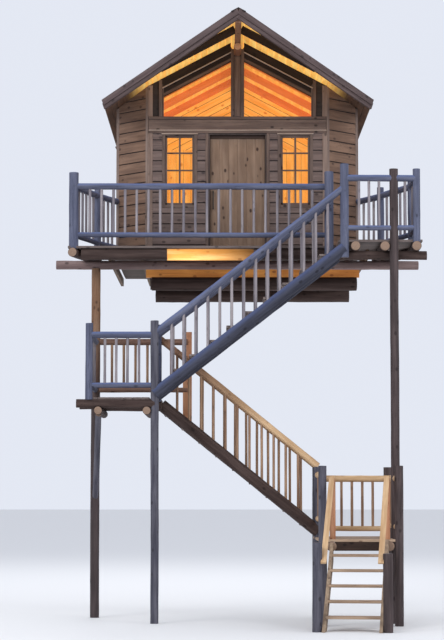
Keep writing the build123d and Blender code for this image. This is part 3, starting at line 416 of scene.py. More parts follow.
def timber_material(
    name, wood, pale, dark, cracks=0.8, knots=0.7, along="own", sky_light=None, glow=0, lit=None,
    shade=(0.10, 0.045, 0.02), gloss=0.5,
):
    """A wood finish; the sky tint is painted sky light on what faces up, and glow is the strength of
    painted lamp light that the surface gives off.

    Lit makes the factor of painted lamp light on a place; elsewhere the wood takes a darker copy of
    itself as painted shade.
    """
    material, tree, shader = new_material(name, {"Specular IOR Level": gloss})
    place = grain_place(tree, along)

    def timber(colours):
        node = new_node(tree, "ShaderNodeGroup", node_tree=TIMBER)
        tree.links.new(place, node.inputs["Place"])
        for socket, colour in zip(("Wood", "Pale", "Dark"), colours):
            feed(tree, node.inputs[socket], colour)
        for socket, amount in (("Streaks", 0.7), ("Cracks", cracks), ("Knots", knots)):
            node.inputs[socket].default_value = amount
        return node

    group = timber((wood, pale, dark))
    colour = group.outputs["Colour"]
    if sky_light:
        # Painted sky light: faces that look up take the sky tint.
        up = sharpen(tree, facing(tree)["Z"], -0.1, 0.9)
        colour = blended(tree, arithmetic(tree, "MULTIPLY", up, 0.75), colour, sky_light)
    painted_glow_colour = colour
    if lit:
        # Painted lamp light where the factor is full; the darker unlit copy is painted shade.
        near = lit(tree)
        painted_glow_colour = blended(tree, near, (0, 0, 0), colour)
        unlit = timber([tuple(channel * part for channel in shade) for part in (1, 1.8, 0.35)])
        colour = blended(tree, near, unlit.outputs["Colour"], colour)
    tree.links.new(colour, shader.inputs["Base Color"])
    tree.links.new(group.outputs["Dull"], shader.inputs["Roughness"])
    # Painted glow: the lit colour is given off as light, though the surface is no lamp.
    if glow:
        tree.links.new(painted_glow_colour, shader.inputs["Emission Color"])
        shader.inputs["Emission Strength"].default_value = glow
    raise_by(tree, group.outputs["Height"], shader, 0.5, 0.004)
    return material


def lit_across(tree):
    """Full light within the width of the cabin's front, fading out towards the eaves and the back."""
    place = parts_of(tree, object_place(tree))
    aside = arithmetic(tree, "ABSOLUTE", arithmetic(tree, "SUBTRACT", place["X"], HOUSE_X), 0)
    inside = sharpen(tree, place["Y"], BACK_Y, BACK_Y - 0.1)
    return arithmetic(tree, "MULTIPLY", sharpen(tree, aside, 1.95, 1.45), inside)


def lit_upward(tree):
    """Full light on what looks up, and none on what looks down."""
    return sharpen(tree, facing(tree)["Z"], 0.0, 0.5)


def lit_front(tree):
    """Full light near the front wall, and none further back."""
    return sharpen(tree, parts_of(tree, object_place(tree))["Y"], WALL_Y + 0.8, WALL_Y + 0.3)


def lit_towards_low_landing(tree):
    """Full painted light at the foot of the lower flight and on the low landing, and none at the flight's
    top.
    """
    return sharpen(tree, parts_of(tree, object_place(tree))["X"], 1.2, 3.2)


def lit_spot(centre, reach):
    """Light round a lamp at a place, as a maker of its factor."""
    def factor(tree):
        away = new_node(tree, "ShaderNodeVectorMath", {1: centre}, operation="DISTANCE")
        tree.links.new(object_place(tree), away.inputs[0])
        return sharpen(tree, away.outputs["Value"], reach, 0.0)

    return factor


def cut_end_material(name, wood, ring):
    """The sawn end of a log: uneven year rings."""
    material, tree, shader = new_material(name, {"Roughness": 0.85})
    place = grain_place(tree, "own")
    flat = new_node(tree, "ShaderNodeVectorMath", {1: (1, 1, 0)}, operation="MULTIPLY")
    tree.links.new(place, flat.inputs[0])
    distance = new_node(tree, "ShaderNodeVectorMath", operation="LENGTH")
    tree.links.new(flat.outputs[0], distance.inputs[0])
    uneven = arithmetic(tree, "MULTIPLY", stretched_noise(tree, place, (14, 14, 14), 3), 0.012)
    radius = arithmetic(tree, "ADD", distance.outputs["Value"], uneven)
    rings = arithmetic(tree, "SINE", arithmetic(tree, "MULTIPLY", radius, 700), 0)
    ringed = sharpen(tree, rings, -0.2, 1.0)
    colour = blended(tree, arithmetic(tree, "MULTIPLY", ringed, 0.6), wood, ring)
    tree.links.new(colour, shader.inputs["Base Color"])
    raise_by(tree, rings, shader, 0.4, 0.003)
    return material


# Weathered grey rail wood with a blue cast of painted dusk sky light, and painted sky light on its tops.
SKY_LIT_RAIL_WOOD = timber_material(
    "weathered_rail_sky_lit", (0.068, 0.076, 0.126), (0.15, 0.162, 0.232), (0.02, 0.02, 0.032),
    sky_light=(0.10, 0.14, 0.30),
)
# Dark stringer wood with a blue cast of painted dusk sky light; the sky tint is painted sky light on its
# top.
STRINGER_WOOD = timber_material(
    "dark_stringer", (0.034, 0.036, 0.054), (0.075, 0.080, 0.115), (0.012, 0.012, 0.018),
    sky_light=(0.09, 0.12, 0.25), gloss=0.25,
)
# Rail wood warmed by painted lamp light.
WARM_LAMP_LIT_RAIL_WOOD = timber_material(
    "warm_lamp_lit_rail", (0.18, 0.095, 0.066), (0.31, 0.185, 0.13), (0.045, 0.024, 0.018)
)
BALUSTER_WOOD = timber_material(
    "weathered_baluster", (0.18, 0.16, 0.185), (0.39, 0.345, 0.345), (0.05, 0.04, 0.045), knots=0.4
)
# Baluster wood warmed by painted lamp light.
WARM_LAMP_LIT_BALUSTER_WOOD = timber_material(
    "warm_lamp_lit_baluster", (0.26, 0.145, 0.085), (0.46, 0.29, 0.18), (0.07, 0.035, 0.025), knots=0.4
)
POST_WOOD = timber_material(
    "weathered_post", (0.058, 0.057, 0.078), (0.145, 0.140, 0.168), (0.018, 0.016, 0.02), gloss=0.3
)
BROWN_POST_WOOD = timber_material(
    "brown_post", (0.050, 0.036, 0.036), (0.112, 0.082, 0.080), (0.015, 0.01, 0.01), gloss=0.3
)
# The main post: warm painted lamp light with a little painted glow round the lamp, and painted shade
# further from it.
LAMP_LIT_MAIN_POST_WOOD = timber_material(
    "main_post", (0.21, 0.11, 0.062), (0.34, 0.21, 0.13), (0.06, 0.03, 0.02), glow=0.06,
    lit=lit_spot((0, 0, 5.500), 2.3), shade=(0.050, 0.037, 0.037), gloss=0.3,
)
BEAM_WOOD = timber_material(
    "brown_log", (0.050, 0.031, 0.027), (0.100, 0.067, 0.058), (0.014, 0.009, 0.008), gloss=0.2
)
# The brown log wood made lighter with painted lamp light, for the front beam.
LAMP_LIT_MAIN_BEAM_WOOD = timber_material(
    "lamp_lit_front_beam", (0.19, 0.125, 0.118), (0.33, 0.235, 0.22), (0.035, 0.022, 0.02)
)
# Near-black painted shade, for boards that sit in shade.
PAINTED_SHADE_WOOD = timber_material(
    "shaded_timber", (0.042, 0.025, 0.020), (0.075, 0.047, 0.036), (0.012, 0.008, 0.007), gloss=0.2
)
TREAD_WOOD = timber_material(
    "tread_board", (0.16, 0.12, 0.11), (0.34, 0.27, 0.23), (0.04, 0.03, 0.03)
)
# The tread wood made paler and warmer with painted lamp light, for the bottom treads and the low landing.
LAMP_LIT_TREAD_WOOD = timber_material(
    "lamp_lit_tread_board", (0.35, 0.235, 0.155), (0.54, 0.39, 0.27), (0.11, 0.06, 0.04)
)
FLOOR_WOOD = timber_material(
    "deck_board", (0.12, 0.09, 0.082), (0.22, 0.172, 0.155), (0.032, 0.022, 0.02)
)
# Handrail wood made pale with painted lamp light towards the low landing, with painted shade up the
# flight.
PALE_LAMP_LIT_RAIL_WOOD = timber_material(
    "pale_lamp_lit_handrail", (0.50, 0.31, 0.16), (0.76, 0.54, 0.32), (0.25, 0.12, 0.05), cracks=0.3, knots=0.4,
    lit=lit_towards_low_landing, shade=(0.25, 0.135, 0.082),
)
SIDING_WOOD = timber_material(
    "front_siding", (0.110, 0.077, 0.070), (0.210, 0.150, 0.132), (0.025, 0.016, 0.016)
)
WARM_SIDING_WOOD = timber_material(
    "side_siding", (0.168, 0.094, 0.061), (0.285, 0.168, 0.108), (0.04, 0.02, 0.013)
)
TRIM_WOOD = timber_material(
    "trim_board", (0.102, 0.067, 0.056), (0.185, 0.13, 0.106), (0.022, 0.013, 0.011), knots=1.0
)
CORNER_WOOD = timber_material(
    "corner_board", (0.19, 0.13, 0.105), (0.30, 0.22, 0.18), (0.04, 0.025, 0.02)
)
PALE_STRIP_WOOD = timber_material(
    "pale_strip", (0.42, 0.33, 0.27), (0.60, 0.50, 0.42), (0.15, 0.10, 0.08), cracks=0.2, knots=0.2
)
DOOR_WOOD = timber_material(
    "door_plank", (0.205, 0.132, 0.088), (0.29, 0.20, 0.143), (0.045, 0.023, 0.016), cracks=0.3, knots=1.0
)
BARGE_WOOD = timber_material(
    "barge_board", (0.075, 0.048, 0.046), (0.145, 0.10, 0.095), (0.02, 0.012, 0.012)
)
BEAM_WARM_WOOD = timber_material(
    "ridge_timber", (0.20, 0.09, 0.05), (0.32, 0.17, 0.10), (0.05, 0.02, 0.015)
)
RAFTER_WOOD = timber_material(
    "outer_rafter", (0.020, 0.013, 0.011), (0.038, 0.025, 0.02), (0.006, 0.004, 0.004), gloss=0.25
)
# Golden lining with painted lamp light and glow over the cabin's front width, and painted shade towards
# the eaves and the back.
GLOWING_LINING_WOOD = timber_material(
    "golden_lining_painted_glow", (0.92, 0.50, 0.10), (1.0, 0.70, 0.22), (0.60, 0.20, 0.03), cracks=0.2, knots=0.6,
    glow=0.62, lit=lit_across,
)
# Red rafters inside, with a painted glow for the lit room.
GLOWING_RAFTER_WOOD = timber_material(
    "red_rafter_painted_glow", (0.80, 0.25, 0.08), (0.92, 0.35, 0.12), (0.42, 0.10, 0.03), cracks=0.2, knots=0.3,
    glow=0.40,
)
# Pine panelling with a painted glow for the lit room.
GLOWING_PANELLING_WOOD = timber_material(
    "pine_panelling", (0.95, 0.52, 0.10), (1.0, 0.72, 0.22), (0.55, 0.18, 0.03), cracks=0.1, glow=0.55
)
SHINGLE = timber_material(
    "roof_shingle", (0.030, 0.026, 0.026), (0.06, 0.052, 0.05), (0.01, 0.009, 0.009), knots=0.1
)
# Near-black painted shade on the wall cores, seen in the joints between courses of siding.
SHADED_WALL_CORE_WOOD = timber_material(
    "wall_core_painted_shade", (0.022, 0.015, 0.014), (0.04, 0.028, 0.025), (0.01, 0.006, 0.006), along="x"
)
# Dark painted shade on the door's jambs and head, in the recess of the doorway.
SHADED_JAMB_WOOD = timber_material(
    "door_jamb", (0.07, 0.05, 0.045), (0.12, 0.09, 0.08), (0.02, 0.01, 0.01), along="z"
)
# Cabin floor boards: painted light on top, painted shade underneath.
CABIN_FLOOR_WOOD = timber_material(
    "cabin_floor_boards", (0.45, 0.22, 0.09), (0.6, 0.33, 0.15), (0.15, 0.06, 0.02), along="x",
    lit=lit_upward, shade=(0.045, 0.028, 0.02),
)
JOIST_WOOD = timber_material(
    "joists", (0.10, 0.06, 0.035), (0.18, 0.11, 0.06), (0.03, 0.02, 0.01), along="y"
)
LIT_BEAM_WOOD = timber_material(
    "lit_beam", (0.55, 0.20, 0.045), (0.80, 0.36, 0.09), (0.20, 0.06, 0.02), along="x", glow=0.25,
    lit=lit_front, shade=(0.060, 0.038, 0.032),
)
LIT_FASCIA_WOOD = timber_material(
    "lit_fascia", (0.85, 0.38, 0.08), (1.0, 0.66, 0.26), (0.45, 0.16, 0.03), along="x", glow=1.0,
    lit=lit_spot((1.500, -0.600, 5.990), 1.5), shade=(0.30, 0.12, 0.04),
)
# Sawn newel wood made warmer orange with painted lamp light.
LAMP_LIT_NEWEL_WOOD = timber_material(
    "sawn_newel", (0.42, 0.18, 0.09), (0.58, 0.30, 0.165), (0.12, 0.045, 0.02), along="z"
)
STAIR_PLANK_WOOD = timber_material(
    "stair_plank", (0.26, 0.18, 0.12), (0.42, 0.31, 0.21), (0.07, 0.04, 0.03), along="y"
)
CUT_END = cut_end_material("cut_end", (0.30, 0.20, 0.14), (0.12, 0.07, 0.05))
GREY_END = cut_end_material("weathered_end", (0.13, 0.11, 0.12), (0.05, 0.04, 0.05))
# The ridge log's end, made pale as painted light against the shade under the roof.
PALE_END = cut_end_material("pale_end_painted_light", (0.62, 0.38, 0.24), (0.30, 0.15, 0.08))


def glass_material():
    """Sheet glass, nearly clear; its orange tint is painted warm light from the lit room, in uneven
    patches.
    """
    material, tree, shader = new_material("window_glass", {"Roughness": 0.03, "Alpha": 0.12})
    uneven_glow = stretched_noise(tree, object_place(tree), (3, 3, 1.5), 3)
    painted_inside_glow = blended(tree, uneven_glow, (0.30, 0.10, 0.02), (0.20, 0.08, 0.02))
    tree.links.new(painted_inside_glow, shader.inputs["Base Color"])
    return material


def iron_material():
    """Black iron with a little unevenness."""
    material, tree, shader = new_material("black_iron", {"Roughness": 0.45, "Metallic": 0.8})
    patches = stretched_noise(tree, object_place(tree), (18, 18, 18), 5)
    amount = arithmetic(tree, "MULTIPLY", patches, 0.4)
    colour = blended(tree, amount, (0.03, 0.03, 0.032), (0.015, 0.015, 0.016))
    tree.links.new(colour, shader.inputs["Base Color"])
    raise_by(tree, patches, shader, 0.3, 0.002)
    return material


GLASS = glass_material()
IRON = iron_material()


# Modelling helpers

def clear_selection():
    """Nothing is selected, so an operator acts only on what comes next."""
    bpy.ops.object.select_all(action="DESELECT")


def choose(piece, kind, test):
    """In edit mode, select only the faces or edges that pass a test."""
    bpy.ops.mesh.select_mode(type="FACE" if kind == "faces" else "EDGE")
    bpy.ops.mesh.select_all(action="DESELECT")
    shape = bmesh.from_edit_mesh(piece.data)
    for part in getattr(shape, kind):
        part.select = test(part)
    shape.select_flush_mode()
    bmesh.update_edit_mesh(piece.data)


def runs_along(edge):
    """Whether an edge of a new log lies along it."""
    run = edge.verts[1].co - edge.verts[0].co
    return abs(run.z) > 0.5 * run.length


def keep_grain(piece):
    """Store each point's place on the piece, before it is turned, for its grain."""
    mesh = piece.data
    grain = mesh.attributes.new("grain_place", "FLOAT_VECTOR", "POINT")
    for point, vertex in zip(grain.data, mesh.vertices):
        point.vector = vertex.co


def mark_faces(piece, test):
    """Mark the faces that get a piece's second finish, so that the marks outlast joining."""
    marks = piece.data.attributes.new("second_finish", "INT", "FACE")
    for mark, face in zip(marks.data, piece.data.polygons):
        mark.value = int(test(face))


UNEVEN = bpy.data.textures.new("uneven_pole", "CLOUDS")
UNEVEN.noise_scale = 0.22
BOWED = bpy.data.textures.new("bowed_pole", "CLOUDS")
BOWED.noise_scale = 1.6
BOWED.noise_depth = 0


def displace(piece, texture, direction, strength):
    """Push a piece's points by a cloudy texture, and apply it."""
    push = piece.modifiers.new("push", "DISPLACE")
    push.texture = texture
    push.texture_coords = "LOCAL"
    push.direction = direction
    push.strength = strength
    push.mid_level = 0.5
    bpy.ops.object.modifier_apply(modifier=push.name)


def model_log(length, diameter, sides, uneven, bow):
    """A peeled log along Z, cut in rings so that it can be uneven, with softened ends."""
    clear_selection()
    far = chance.uniform(1, 60)
    bpy.ops.mesh.primitive_cylinder_add(
        vertices=sides, radius=diameter / 2, depth=length, location=(0, 0, far + length / 2)
    )
    piece = bpy.context.object
    bpy.ops.object.transform_apply(location=True, rotation=False, scale=False)
    bpy.ops.object.mode_set(mode="EDIT")
    rings = max(1, round(length / RING_SPACING))
    choose(piece, "edges", runs_along)
    bpy.ops.mesh.subdivide(number_cuts=rings)
    choose(piece, "faces", lambda face: len(face.verts) > 4)
    bpy.ops.mesh.inset(thickness=diameter * END_INSET, depth=diameter * END_ROUND)
    bpy.ops.object.mode_set(mode="OBJECT")
    keep_grain(piece)
    displace(piece, UNEVEN, "NORMAL", uneven)
    displace(piece, BOWED, "X", bow)
    displace(piece, BOWED, "Y", bow)
    mark_faces(piece, lambda face: len(face.vertices) > 4)
    piece.data.transform(Matrix.Translation((0, 0, -far)))
    bpy.ops.object.shade_smooth_by_angle(angle=math.radians(40))
    return piece


def upright_to(start, end, roll=0.0):
    """The matrix that takes a piece from its modelled place, along Z, to its run."""
    run = (end - start).normalized()
    side = Vector((0, 0, 1)).cross(run)
    side = side.normalized() if side.length > 0.01 else Vector((1, 0, 0))
    up = run.cross(side)
    turn = Matrix((side, up, run)).transposed().to_4x4()
    return Matrix.Translation(start) @ turn @ Matrix.Rotation(roll, 4, "Z")


def log(start, end, diameter, uneven=LOG_UNEVEN):
    """A log between the middles of its two ends."""
    start, end = Vector(start), Vector(end)
    piece = model_log((end - start).length, diameter, LOG_SIDES, uneven, LOG_BOW)
    piece.data.transform(upright_to(start, end))
    return piece


def standing(foot, top, diameter):
    """A log that stands on a foot, up to a height."""
    return log(foot, (foot[0], foot[1], top), diameter)


def log_in_box(node, along, place, diameter, uneven=LOG_UNEVEN):
    """A log that runs through a node's box along X or Y, at a place on the other axis."""
    low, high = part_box(node)
    z = (low.z + high.z) / 2
    if along == "x":
        return log((low.x, place, z), (high.x, place, z), diameter, uneven)
    return log((place, low.y, z), (place, high.y, z), diameter, uneven)


stock = {}


def keep_in_stock(key, piece):
    """Keep a piece's shape to copy from, and drop the piece itself."""
    stock[key] = piece.data
    bpy.data.objects.remove(piece)


def grain_shift():
    """A chance move of the grain, so that copies differ."""
    return Vector([chance.uniform(-GRAIN_SHIFT, GRAIN_SHIFT) for _ in range(3)])


def placed_copy(name, stock_mesh, shift, matrix):
    """A copy of a stock shape, with its own mesh and grain, in its place."""
    mesh = stock_mesh.copy()
    for point in mesh.attributes["grain_place"].data:
        point.vector = Vector(point.vector) + shift
    mesh.transform(matrix)
    piece = bpy.data.objects.new(name, mesh)
    bpy.context.collection.objects.link(piece)
    return piece


def baluster(start, end):
    """A slim pole: modelled once for each length, then copied and rolled."""
    start, end = Vector(start), Vector(end)
    length = round((end - start).length, 3)
    if length not in stock:
        keep_in_stock(length, model_log(length, BALUSTER_D, SLIM_SIDES, SLIM_UNEVEN, SLIM_BOW))
    shift = grain_shift()
    roll = chance.uniform(0, math.tau)
    return placed_copy("baluster", stock[length], shift, upright_to(start, end, roll))


def board(start, end, width, thickness, soft=EDGE_SOFT, roll=0.0):
    """A sawn board along its run: width lies level across it, thickness at right angles to both."""
    start, end = Vector(start), Vector(end)
    length = (end - start).length
    clear_selection()
    far = Vector([chance.uniform(-20, 20) for _ in range(3)])
    bpy.ops.mesh.primitive_cube_add(size=1, location=far + Vector((0, 0, length / 2)))
    piece = bpy.context.object
    piece.scale = (width, thickness, length)
    bpy.ops.object.transform_apply(location=True, rotation=False, scale=True)
    if soft:
        bpy.ops.object.mode_set(mode="EDIT")
        bpy.ops.mesh.select_all(action="SELECT")
        bpy.ops.mesh.bevel(offset=soft, segments=1)
        bpy.ops.object.mode_set(mode="OBJECT")
    keep_grain(piece)
    piece.data.transform(Matrix.Translation(-far))
    piece.data.transform(upright_to(start, end, roll))
    return piece


def slab(low, high, along="x", soft=EDGE_SOFT):
    """A board between two corners, with its grain along an axis."""
    low, high = Vector(low), Vector(high)
    start, end = (low + high) / 2, (low + high) / 2
    axis = "xyz".index(along)
    start[axis], end[axis] = low[axis], high[axis]
    size = high - low
    width, thickness = {"x": (size.y, size.z), "y": (size.x, size.z), "z": (size.x, size.y)}[along]
    return board(start, end, width, thickness, soft)


def bisect(piece, point, normal):
    """Cut off what lies beyond a plane, on the side that its normal points to."""
    clear_selection()
    piece.select_set(True)
    bpy.context.view_layer.objects.active = piece
    bpy.ops.object.mode_set(mode="EDIT")
    bpy.ops.mesh.select_all(action="SELECT")
    bpy.ops.mesh.bisect(plane_co=point, plane_no=normal, use_fill=True, clear_outer=True)
    bpy.ops.object.mode_set(mode="OBJECT")


def joined(name, pieces):
    """Several pieces as one mesh."""
    clear_selection()
    for piece in pieces:
        piece.select_set(True)
    bpy.context.view_layer.objects.active = pieces[0]
    if len(pieces) > 1:
        bpy.ops.object.join()
    pieces[0].name = name
    return pieces[0]


def finish_piece(name, pieces, materials, nodes=(), body=HOUSE):
    """Join a piece, give it its finish, and tie it to the frame."""
    piece = joined(name, pieces)
    piece.data.materials.clear()
    for material in materials:
        piece.data.materials.append(material)
    marks = piece.data.attributes.get("second_finish")
    if marks:
        for mark, face in zip(marks.data, piece.data.polygons):
            face.material_index = mark.value
        piece.data.attributes.remove(marks)
    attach(piece, body)
    if nodes:
        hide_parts(*nodes)


def finish_logs(name, logs, wood=BEAM_WOOD, end=CUT_END, node=None):
    """Logs that carry a floor or the roof, in place of the node of the same or another name."""
    finish_piece(name, logs, [wood, end], [node or name])


def finish_boards(name, boards, wood):
    """Boards on the outside of a wall."""
    finish_piece(name, boards, [wood])


def finish_posts(name, posts, wood, node):
    """Logs that stand on their feet, given as (foot, top, diameter)."""
    logs = [standing(foot, top, diameter) for foot, top, diameter in posts]
    finish_piece(name, logs, [wood, GREY_END], [node])


# Posts and beams

def make_posts():
    """The round posts and newels, each from its foot to its top."""
    landing_top = 2.500
    main_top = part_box("main_beam")[0].z + HEWN
    finish_posts("main_post", [((0, 0, 0), main_top, MAIN_POST_D)], LAMP_LIT_MAIN_POST_WOOD, "main_post")
    grey = [((LANDING_POST_X, FRONT_ROW, 0), MID_FLOOR + NEWEL_TOP, LANDING_POST_D)]
    for y in (LOWER_OUTER, BACK_ROW, LOW_SIDE_Y):
        grey.append(((LOWER_NEWEL_X, y, 0), landing_top, LANDING_POST_D))
    brown = [((LOW_RIGHT_X, FRONT_ROW, 0), DECK_FLOOR + LOW_NEWEL_TOP, TALL_POST_D)]
    for y in (BACK_ROW, LOW_SIDE_Y):
        brown.append(((LOW_RIGHT_X, y, 0), landing_top, TALL_POST_D))
    foot_x = PLANK_X + PLANK_T / 2 + NEWEL_D / 2
    for side, top, posts in zip((-1, 1), FOOT_NEWEL_TOPS, (grey, brown)):
        foot = stair_spot(side * foot_x, -FOOT_NEWEL_RUN, 0)
        posts.append((tuple(foot), top, NEWEL_D))
    finish_posts("ground_posts", grey, POST_WOOD, "ground_posts")
    finish_posts("right_ground_posts", brown, BROWN_POST_WOOD, "ground_posts")

    deck_low = DECK_FLOOR - BOARD_T
    stair_head_y, stair_head_low = -0.785, 5.870
    high_top = DECK_FLOOR + NEWEL_TOP
    low_top = DECK_FLOOR + LOW_NEWEL_TOP
    deck_newels = [
        ((DECK_LEFT_X, FRONT_RAIL, deck_low), high_top, CORNER_NEWEL_D),
        ((DECK_CORNER_X, stair_head_y, stair_head_low), high_top, NEWEL_D),
        ((BAY_NEWEL_X, FRONT_ROW, stair_head_low), high_top, TALL_POST_D),
    ]
    for place in ((BAY_RIGHT_X, FRONT_ROW), (BAY_RIGHT_X, FRONT_RAIL), REAR_LEFT, REAR_RIGHT):
        deck_newels.append(((*place, deck_low), low_top, SLIM_NEWEL_D))
    finish_posts("deck_newels", deck_newels, SKY_LIT_RAIL_WOOD, "deck_rail_posts")

    mid_low = MID_FLOOR - BOARD_T
    landing_newels = [
        ((LANDING_LEFT_X, FRONT_ROW, mid_low), MID_FLOOR + NEWEL_TOP - 0.04, SLIM_NEWEL_D),
        ((INNER_NEWEL_X, LANDING_MIDDLE, mid_low), MID_FLOOR + NEWEL_TOP, NEWEL_D),
    ]
    finish_posts("landing_newels", landing_newels, SKY_LIT_RAIL_WOOD, "mid_landing_newels")


def make_beams():
    """The logs that carry the floors, and the ridge log."""
    beam = log_in_box("main_beam", "x", 0, BEAM_D, uneven=0.012)
    finish_logs("main_beam", [beam], LAMP_LIT_MAIN_BEAM_WOOD)
    seats_y = (0.760, 3.000)
    logs = [log_in_box("carrying_logs", "x", y, CARRYING_D, uneven=0.016) for y in seats_y]
    finish_logs("carrying_logs", logs)

    deck_low = DECK_FLOOR - BOARD_T
    rim_y, rim_z = -0.645, deck_low - RIM_D / 2 + HEWN
    side_z = deck_low - SMALL_LOG_D / 2 + HEWN
    logs = [
        log((left, rim_y, rim_z), (right, rim_y, rim_z), RIM_D, uneven=0.012)
        for left, right in ((-0.205, 1.215), (2.662, 4.200))
    ]
    for front, rear in (((-0.350, -0.765), (-0.005, 0.560)), ((5.270, -0.745), (4.860, 0.560))):
        logs.append(log((*front, side_z), (*rear, side_z), SMALL_LOG_D))
    finish_logs("rim_logs", logs)

    logs = []
    for x, back in ((4.290, 0.300), (4.762, 0.300), (BAY_RIGHT_X, -0.745)):
        logs.append(log((x, FRONT_ROW - 0.060, side_z), (x, back, side_z), SMALL_LOG_D))
    finish_logs("bay_logs", logs)
    low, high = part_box("bay_beam")
    finish_logs("bay_beam", [log_in_box("bay_beam", "x", (low.y + high.y) / 2, BAY_BEAM_D)])

    mid_z = MID_FLOOR - BOARD_T - LANDING_LOG_D / 2 + HEWN
    left = -0.210
    logs = [
        log((start, y, mid_z), (end, y, mid_z), LANDING_LOG_D)
        for start, end, y in (
            (left, LANDING_POST_X, FRONT_ROW),
            (left, LANDING_EDGE_X, LANDING_MIDDLE),
            (0, LANDING_EDGE_X, BACK_ROW),
        )
    ]
    finish_logs("landing_logs", logs, node="mid_landing_logs")
    cross_x = (0.140, 0.920)
    logs = [log_in_box("mid_landing_cross_logs", "y", x, CROSS_LOG_D) for x in cross_x]
    finish_logs("cross_logs", logs, node="mid_landing_cross_logs")
    low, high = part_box("landing_brace")
    brace = log((cross_x[0], low.y + 0.05, high.z), (0, 0, low.z + 0.08), BRACE_D)
    finish_logs("landing_brace", [brace], POST_WOOD)
    low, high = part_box("low_landing_beams")
    logs = [
        log_in_box("low_landing_beams", "y", x, SMALL_LOG_D)
        for x in (low.x + SMALL_LOG_D / 2, high.x - SMALL_LOG_D / 2)
    ]
    finish_logs("low_landing_beams", logs)
    ridge = log_in_box("ridge_log", "y", HOUSE_X, RIDGE_LOG_D)
    finish_logs("ridge_log", [ridge], BEAM_WARM_WOOD, PALE_END)


# Rails

def spots_between(first, last, spacing):
    """Evenly spaced distances between two ends, at most the spacing apart."""
    count = max(1, math.ceil((last - first) / spacing) - 1)
    return [first + (last - first) * (step + 1) / (count + 1) for step in range(count)]


def rail_panel(start, end, floor_z, top=RAIL_HEIGHT, low=LOWER_RAIL_HEIGHT, inset=NEWEL_D / 2):
    """Two rails and their balusters, as (rails, balusters)."""
    start, end = Vector((*start, floor_z)), Vector((*end, floor_z))
    along = (end - start).normalized()
    rise, foot = Vector((0, 0, top)), Vector((0, 0, low))
    rails = [
        log(start + rise, end + rise, RAIL_D),
        log(start + foot, end + foot, LOWER_RAIL_D),
    ]
    slim = [
        baluster(start + along * distance + foot, start + along * distance + rise)
        for distance in spots_between(inset, (end - start).length - inset, BALUSTER_SPACING)
    ]
    return rails, slim


def finish_rails(name, panels, node, wood=SKY_LIT_RAIL_WOOD, slim_wood=BALUSTER_WOOD):
    """All panels of a node: its rails in one piece, and its balusters in another."""
    rails = [rail for panel in panels for rail in panel[0]]
    slim = [pole for panel in panels for pole in panel[1]]
    finish_piece(name, rails, [wood, GREY_END], [node])
    finish_piece(name + "_balusters", slim, [slim_wood, GREY_END], [node])


def make_level_rails():
    """The rails of the deck and the landings."""
    left, corner = (DECK_LEFT_X, FRONT_RAIL), (DECK_CORNER_X, FRONT_RAIL)
    finish_rails("deck_front_rail", [rail_panel(left, corner, DECK_FLOOR)], "deck_rail_front")
    bay_back = (BAY_RIGHT_X, FRONT_RAIL)
    at_wall = 0.06
    sides = [
        rail_panel(left, REAR_LEFT, DECK_FLOOR),
        rail_panel(REAR_LEFT, (at(-HALF_BODY), SPLAY_Y), DECK_FLOOR, inset=at_wall),
        rail_panel(bay_back, REAR_RIGHT, DECK_FLOOR),
        rail_panel(REAR_RIGHT, (at(HALF_BODY), SPLAY_Y), DECK_FLOOR, inset=at_wall),
    ]
    finish_rails("deck_side_rails", sides, "deck_rail_sides")
    tall_post, bay_front = (LOW_RIGHT_X, FRONT_ROW), (BAY_RIGHT_X, FRONT_ROW)
    bay = [
        rail_panel((BAY_NEWEL_X, FRONT_ROW), tall_post, DECK_FLOOR),
        rail_panel(tall_post, bay_front, DECK_FLOOR),
        rail_panel(bay_front, bay_back, DECK_FLOOR),
    ]
    finish_rails("bay_rails", bay, "bay_rails")
    corner, back = (LANDING_LEFT_X, FRONT_ROW), (0, BACK_ROW)
    middle = [
        rail_panel(corner, (LANDING_POST_X, FRONT_ROW), MID_FLOOR),
        rail_panel(corner, back, MID_FLOOR),
    ]
    finish_rails("landing_rails", middle, "mid_landing_rails")
    rear = [rail_panel(back, (REAR_NEWEL_X, BACK_ROW), MID_FLOOR)]
    finish_rails("landing_rear_rail", rear, "mid_landing_rails", WARM_LAMP_LIT_RAIL_WOOD, WARM_LAMP_LIT_BALUSTER_WOOD)
    side_top = 0.960
    front_left, outer_left = (LOWER_NEWEL_X, LOW_SIDE_Y), (LOWER_NEWEL_X, LOWER_OUTER)
    back_left, back_right = (LOWER_NEWEL_X, BACK_ROW), (LOW_RIGHT_X, BACK_ROW)
    low = [
        rail_panel(front_left, outer_left, LOW_FLOOR, top=1.020, low=0.300),
        rail_panel((LOW_RIGHT_X, LOW_SIDE_Y), tall_post, LOW_FLOOR, side_top),
        rail_panel(tall_post, back_right, LOW_FLOOR, side_top),
        rail_panel(back_left, back_right, LOW_FLOOR, side_top, low=0.130),
    ]
    finish_rails("low_landing_rails", low, "low_landing_rails", PALE_LAMP_LIT_RAIL_WOOD, WARM_LAMP_LIT_BALUSTER_WOOD)


# Log flights and the bottom stair

def upper_pitch(x):
    """Height of the upper flight's line of nosings."""
    return MID_FLOOR + UPPER_RISE + (x - UPPER_EDGE_X) * UPPER_SLOPE


def lower_pitch(x):
    """Height of the lower flight's line of nosings."""
    return MID_FLOOR - (x - LOWER_EDGE_X) * LOWER_SLOPE


def flight_panel(y, left, right, pitch, rise, drop, inset=NEWEL_D / 2):
    """A sloped handrail and the balusters that stand on the stringer."""
    rails = [log((left, y, pitch(left) + rise), (right, y, pitch(right) + rise), RAIL_D)]
    slim = [
        baluster((x, y, pitch(x) - drop), (x, y, pitch(x) + rise))
        for x in spots_between(left + inset, right - inset, BALUSTER_SPACING)
    ]
    return rails, slim


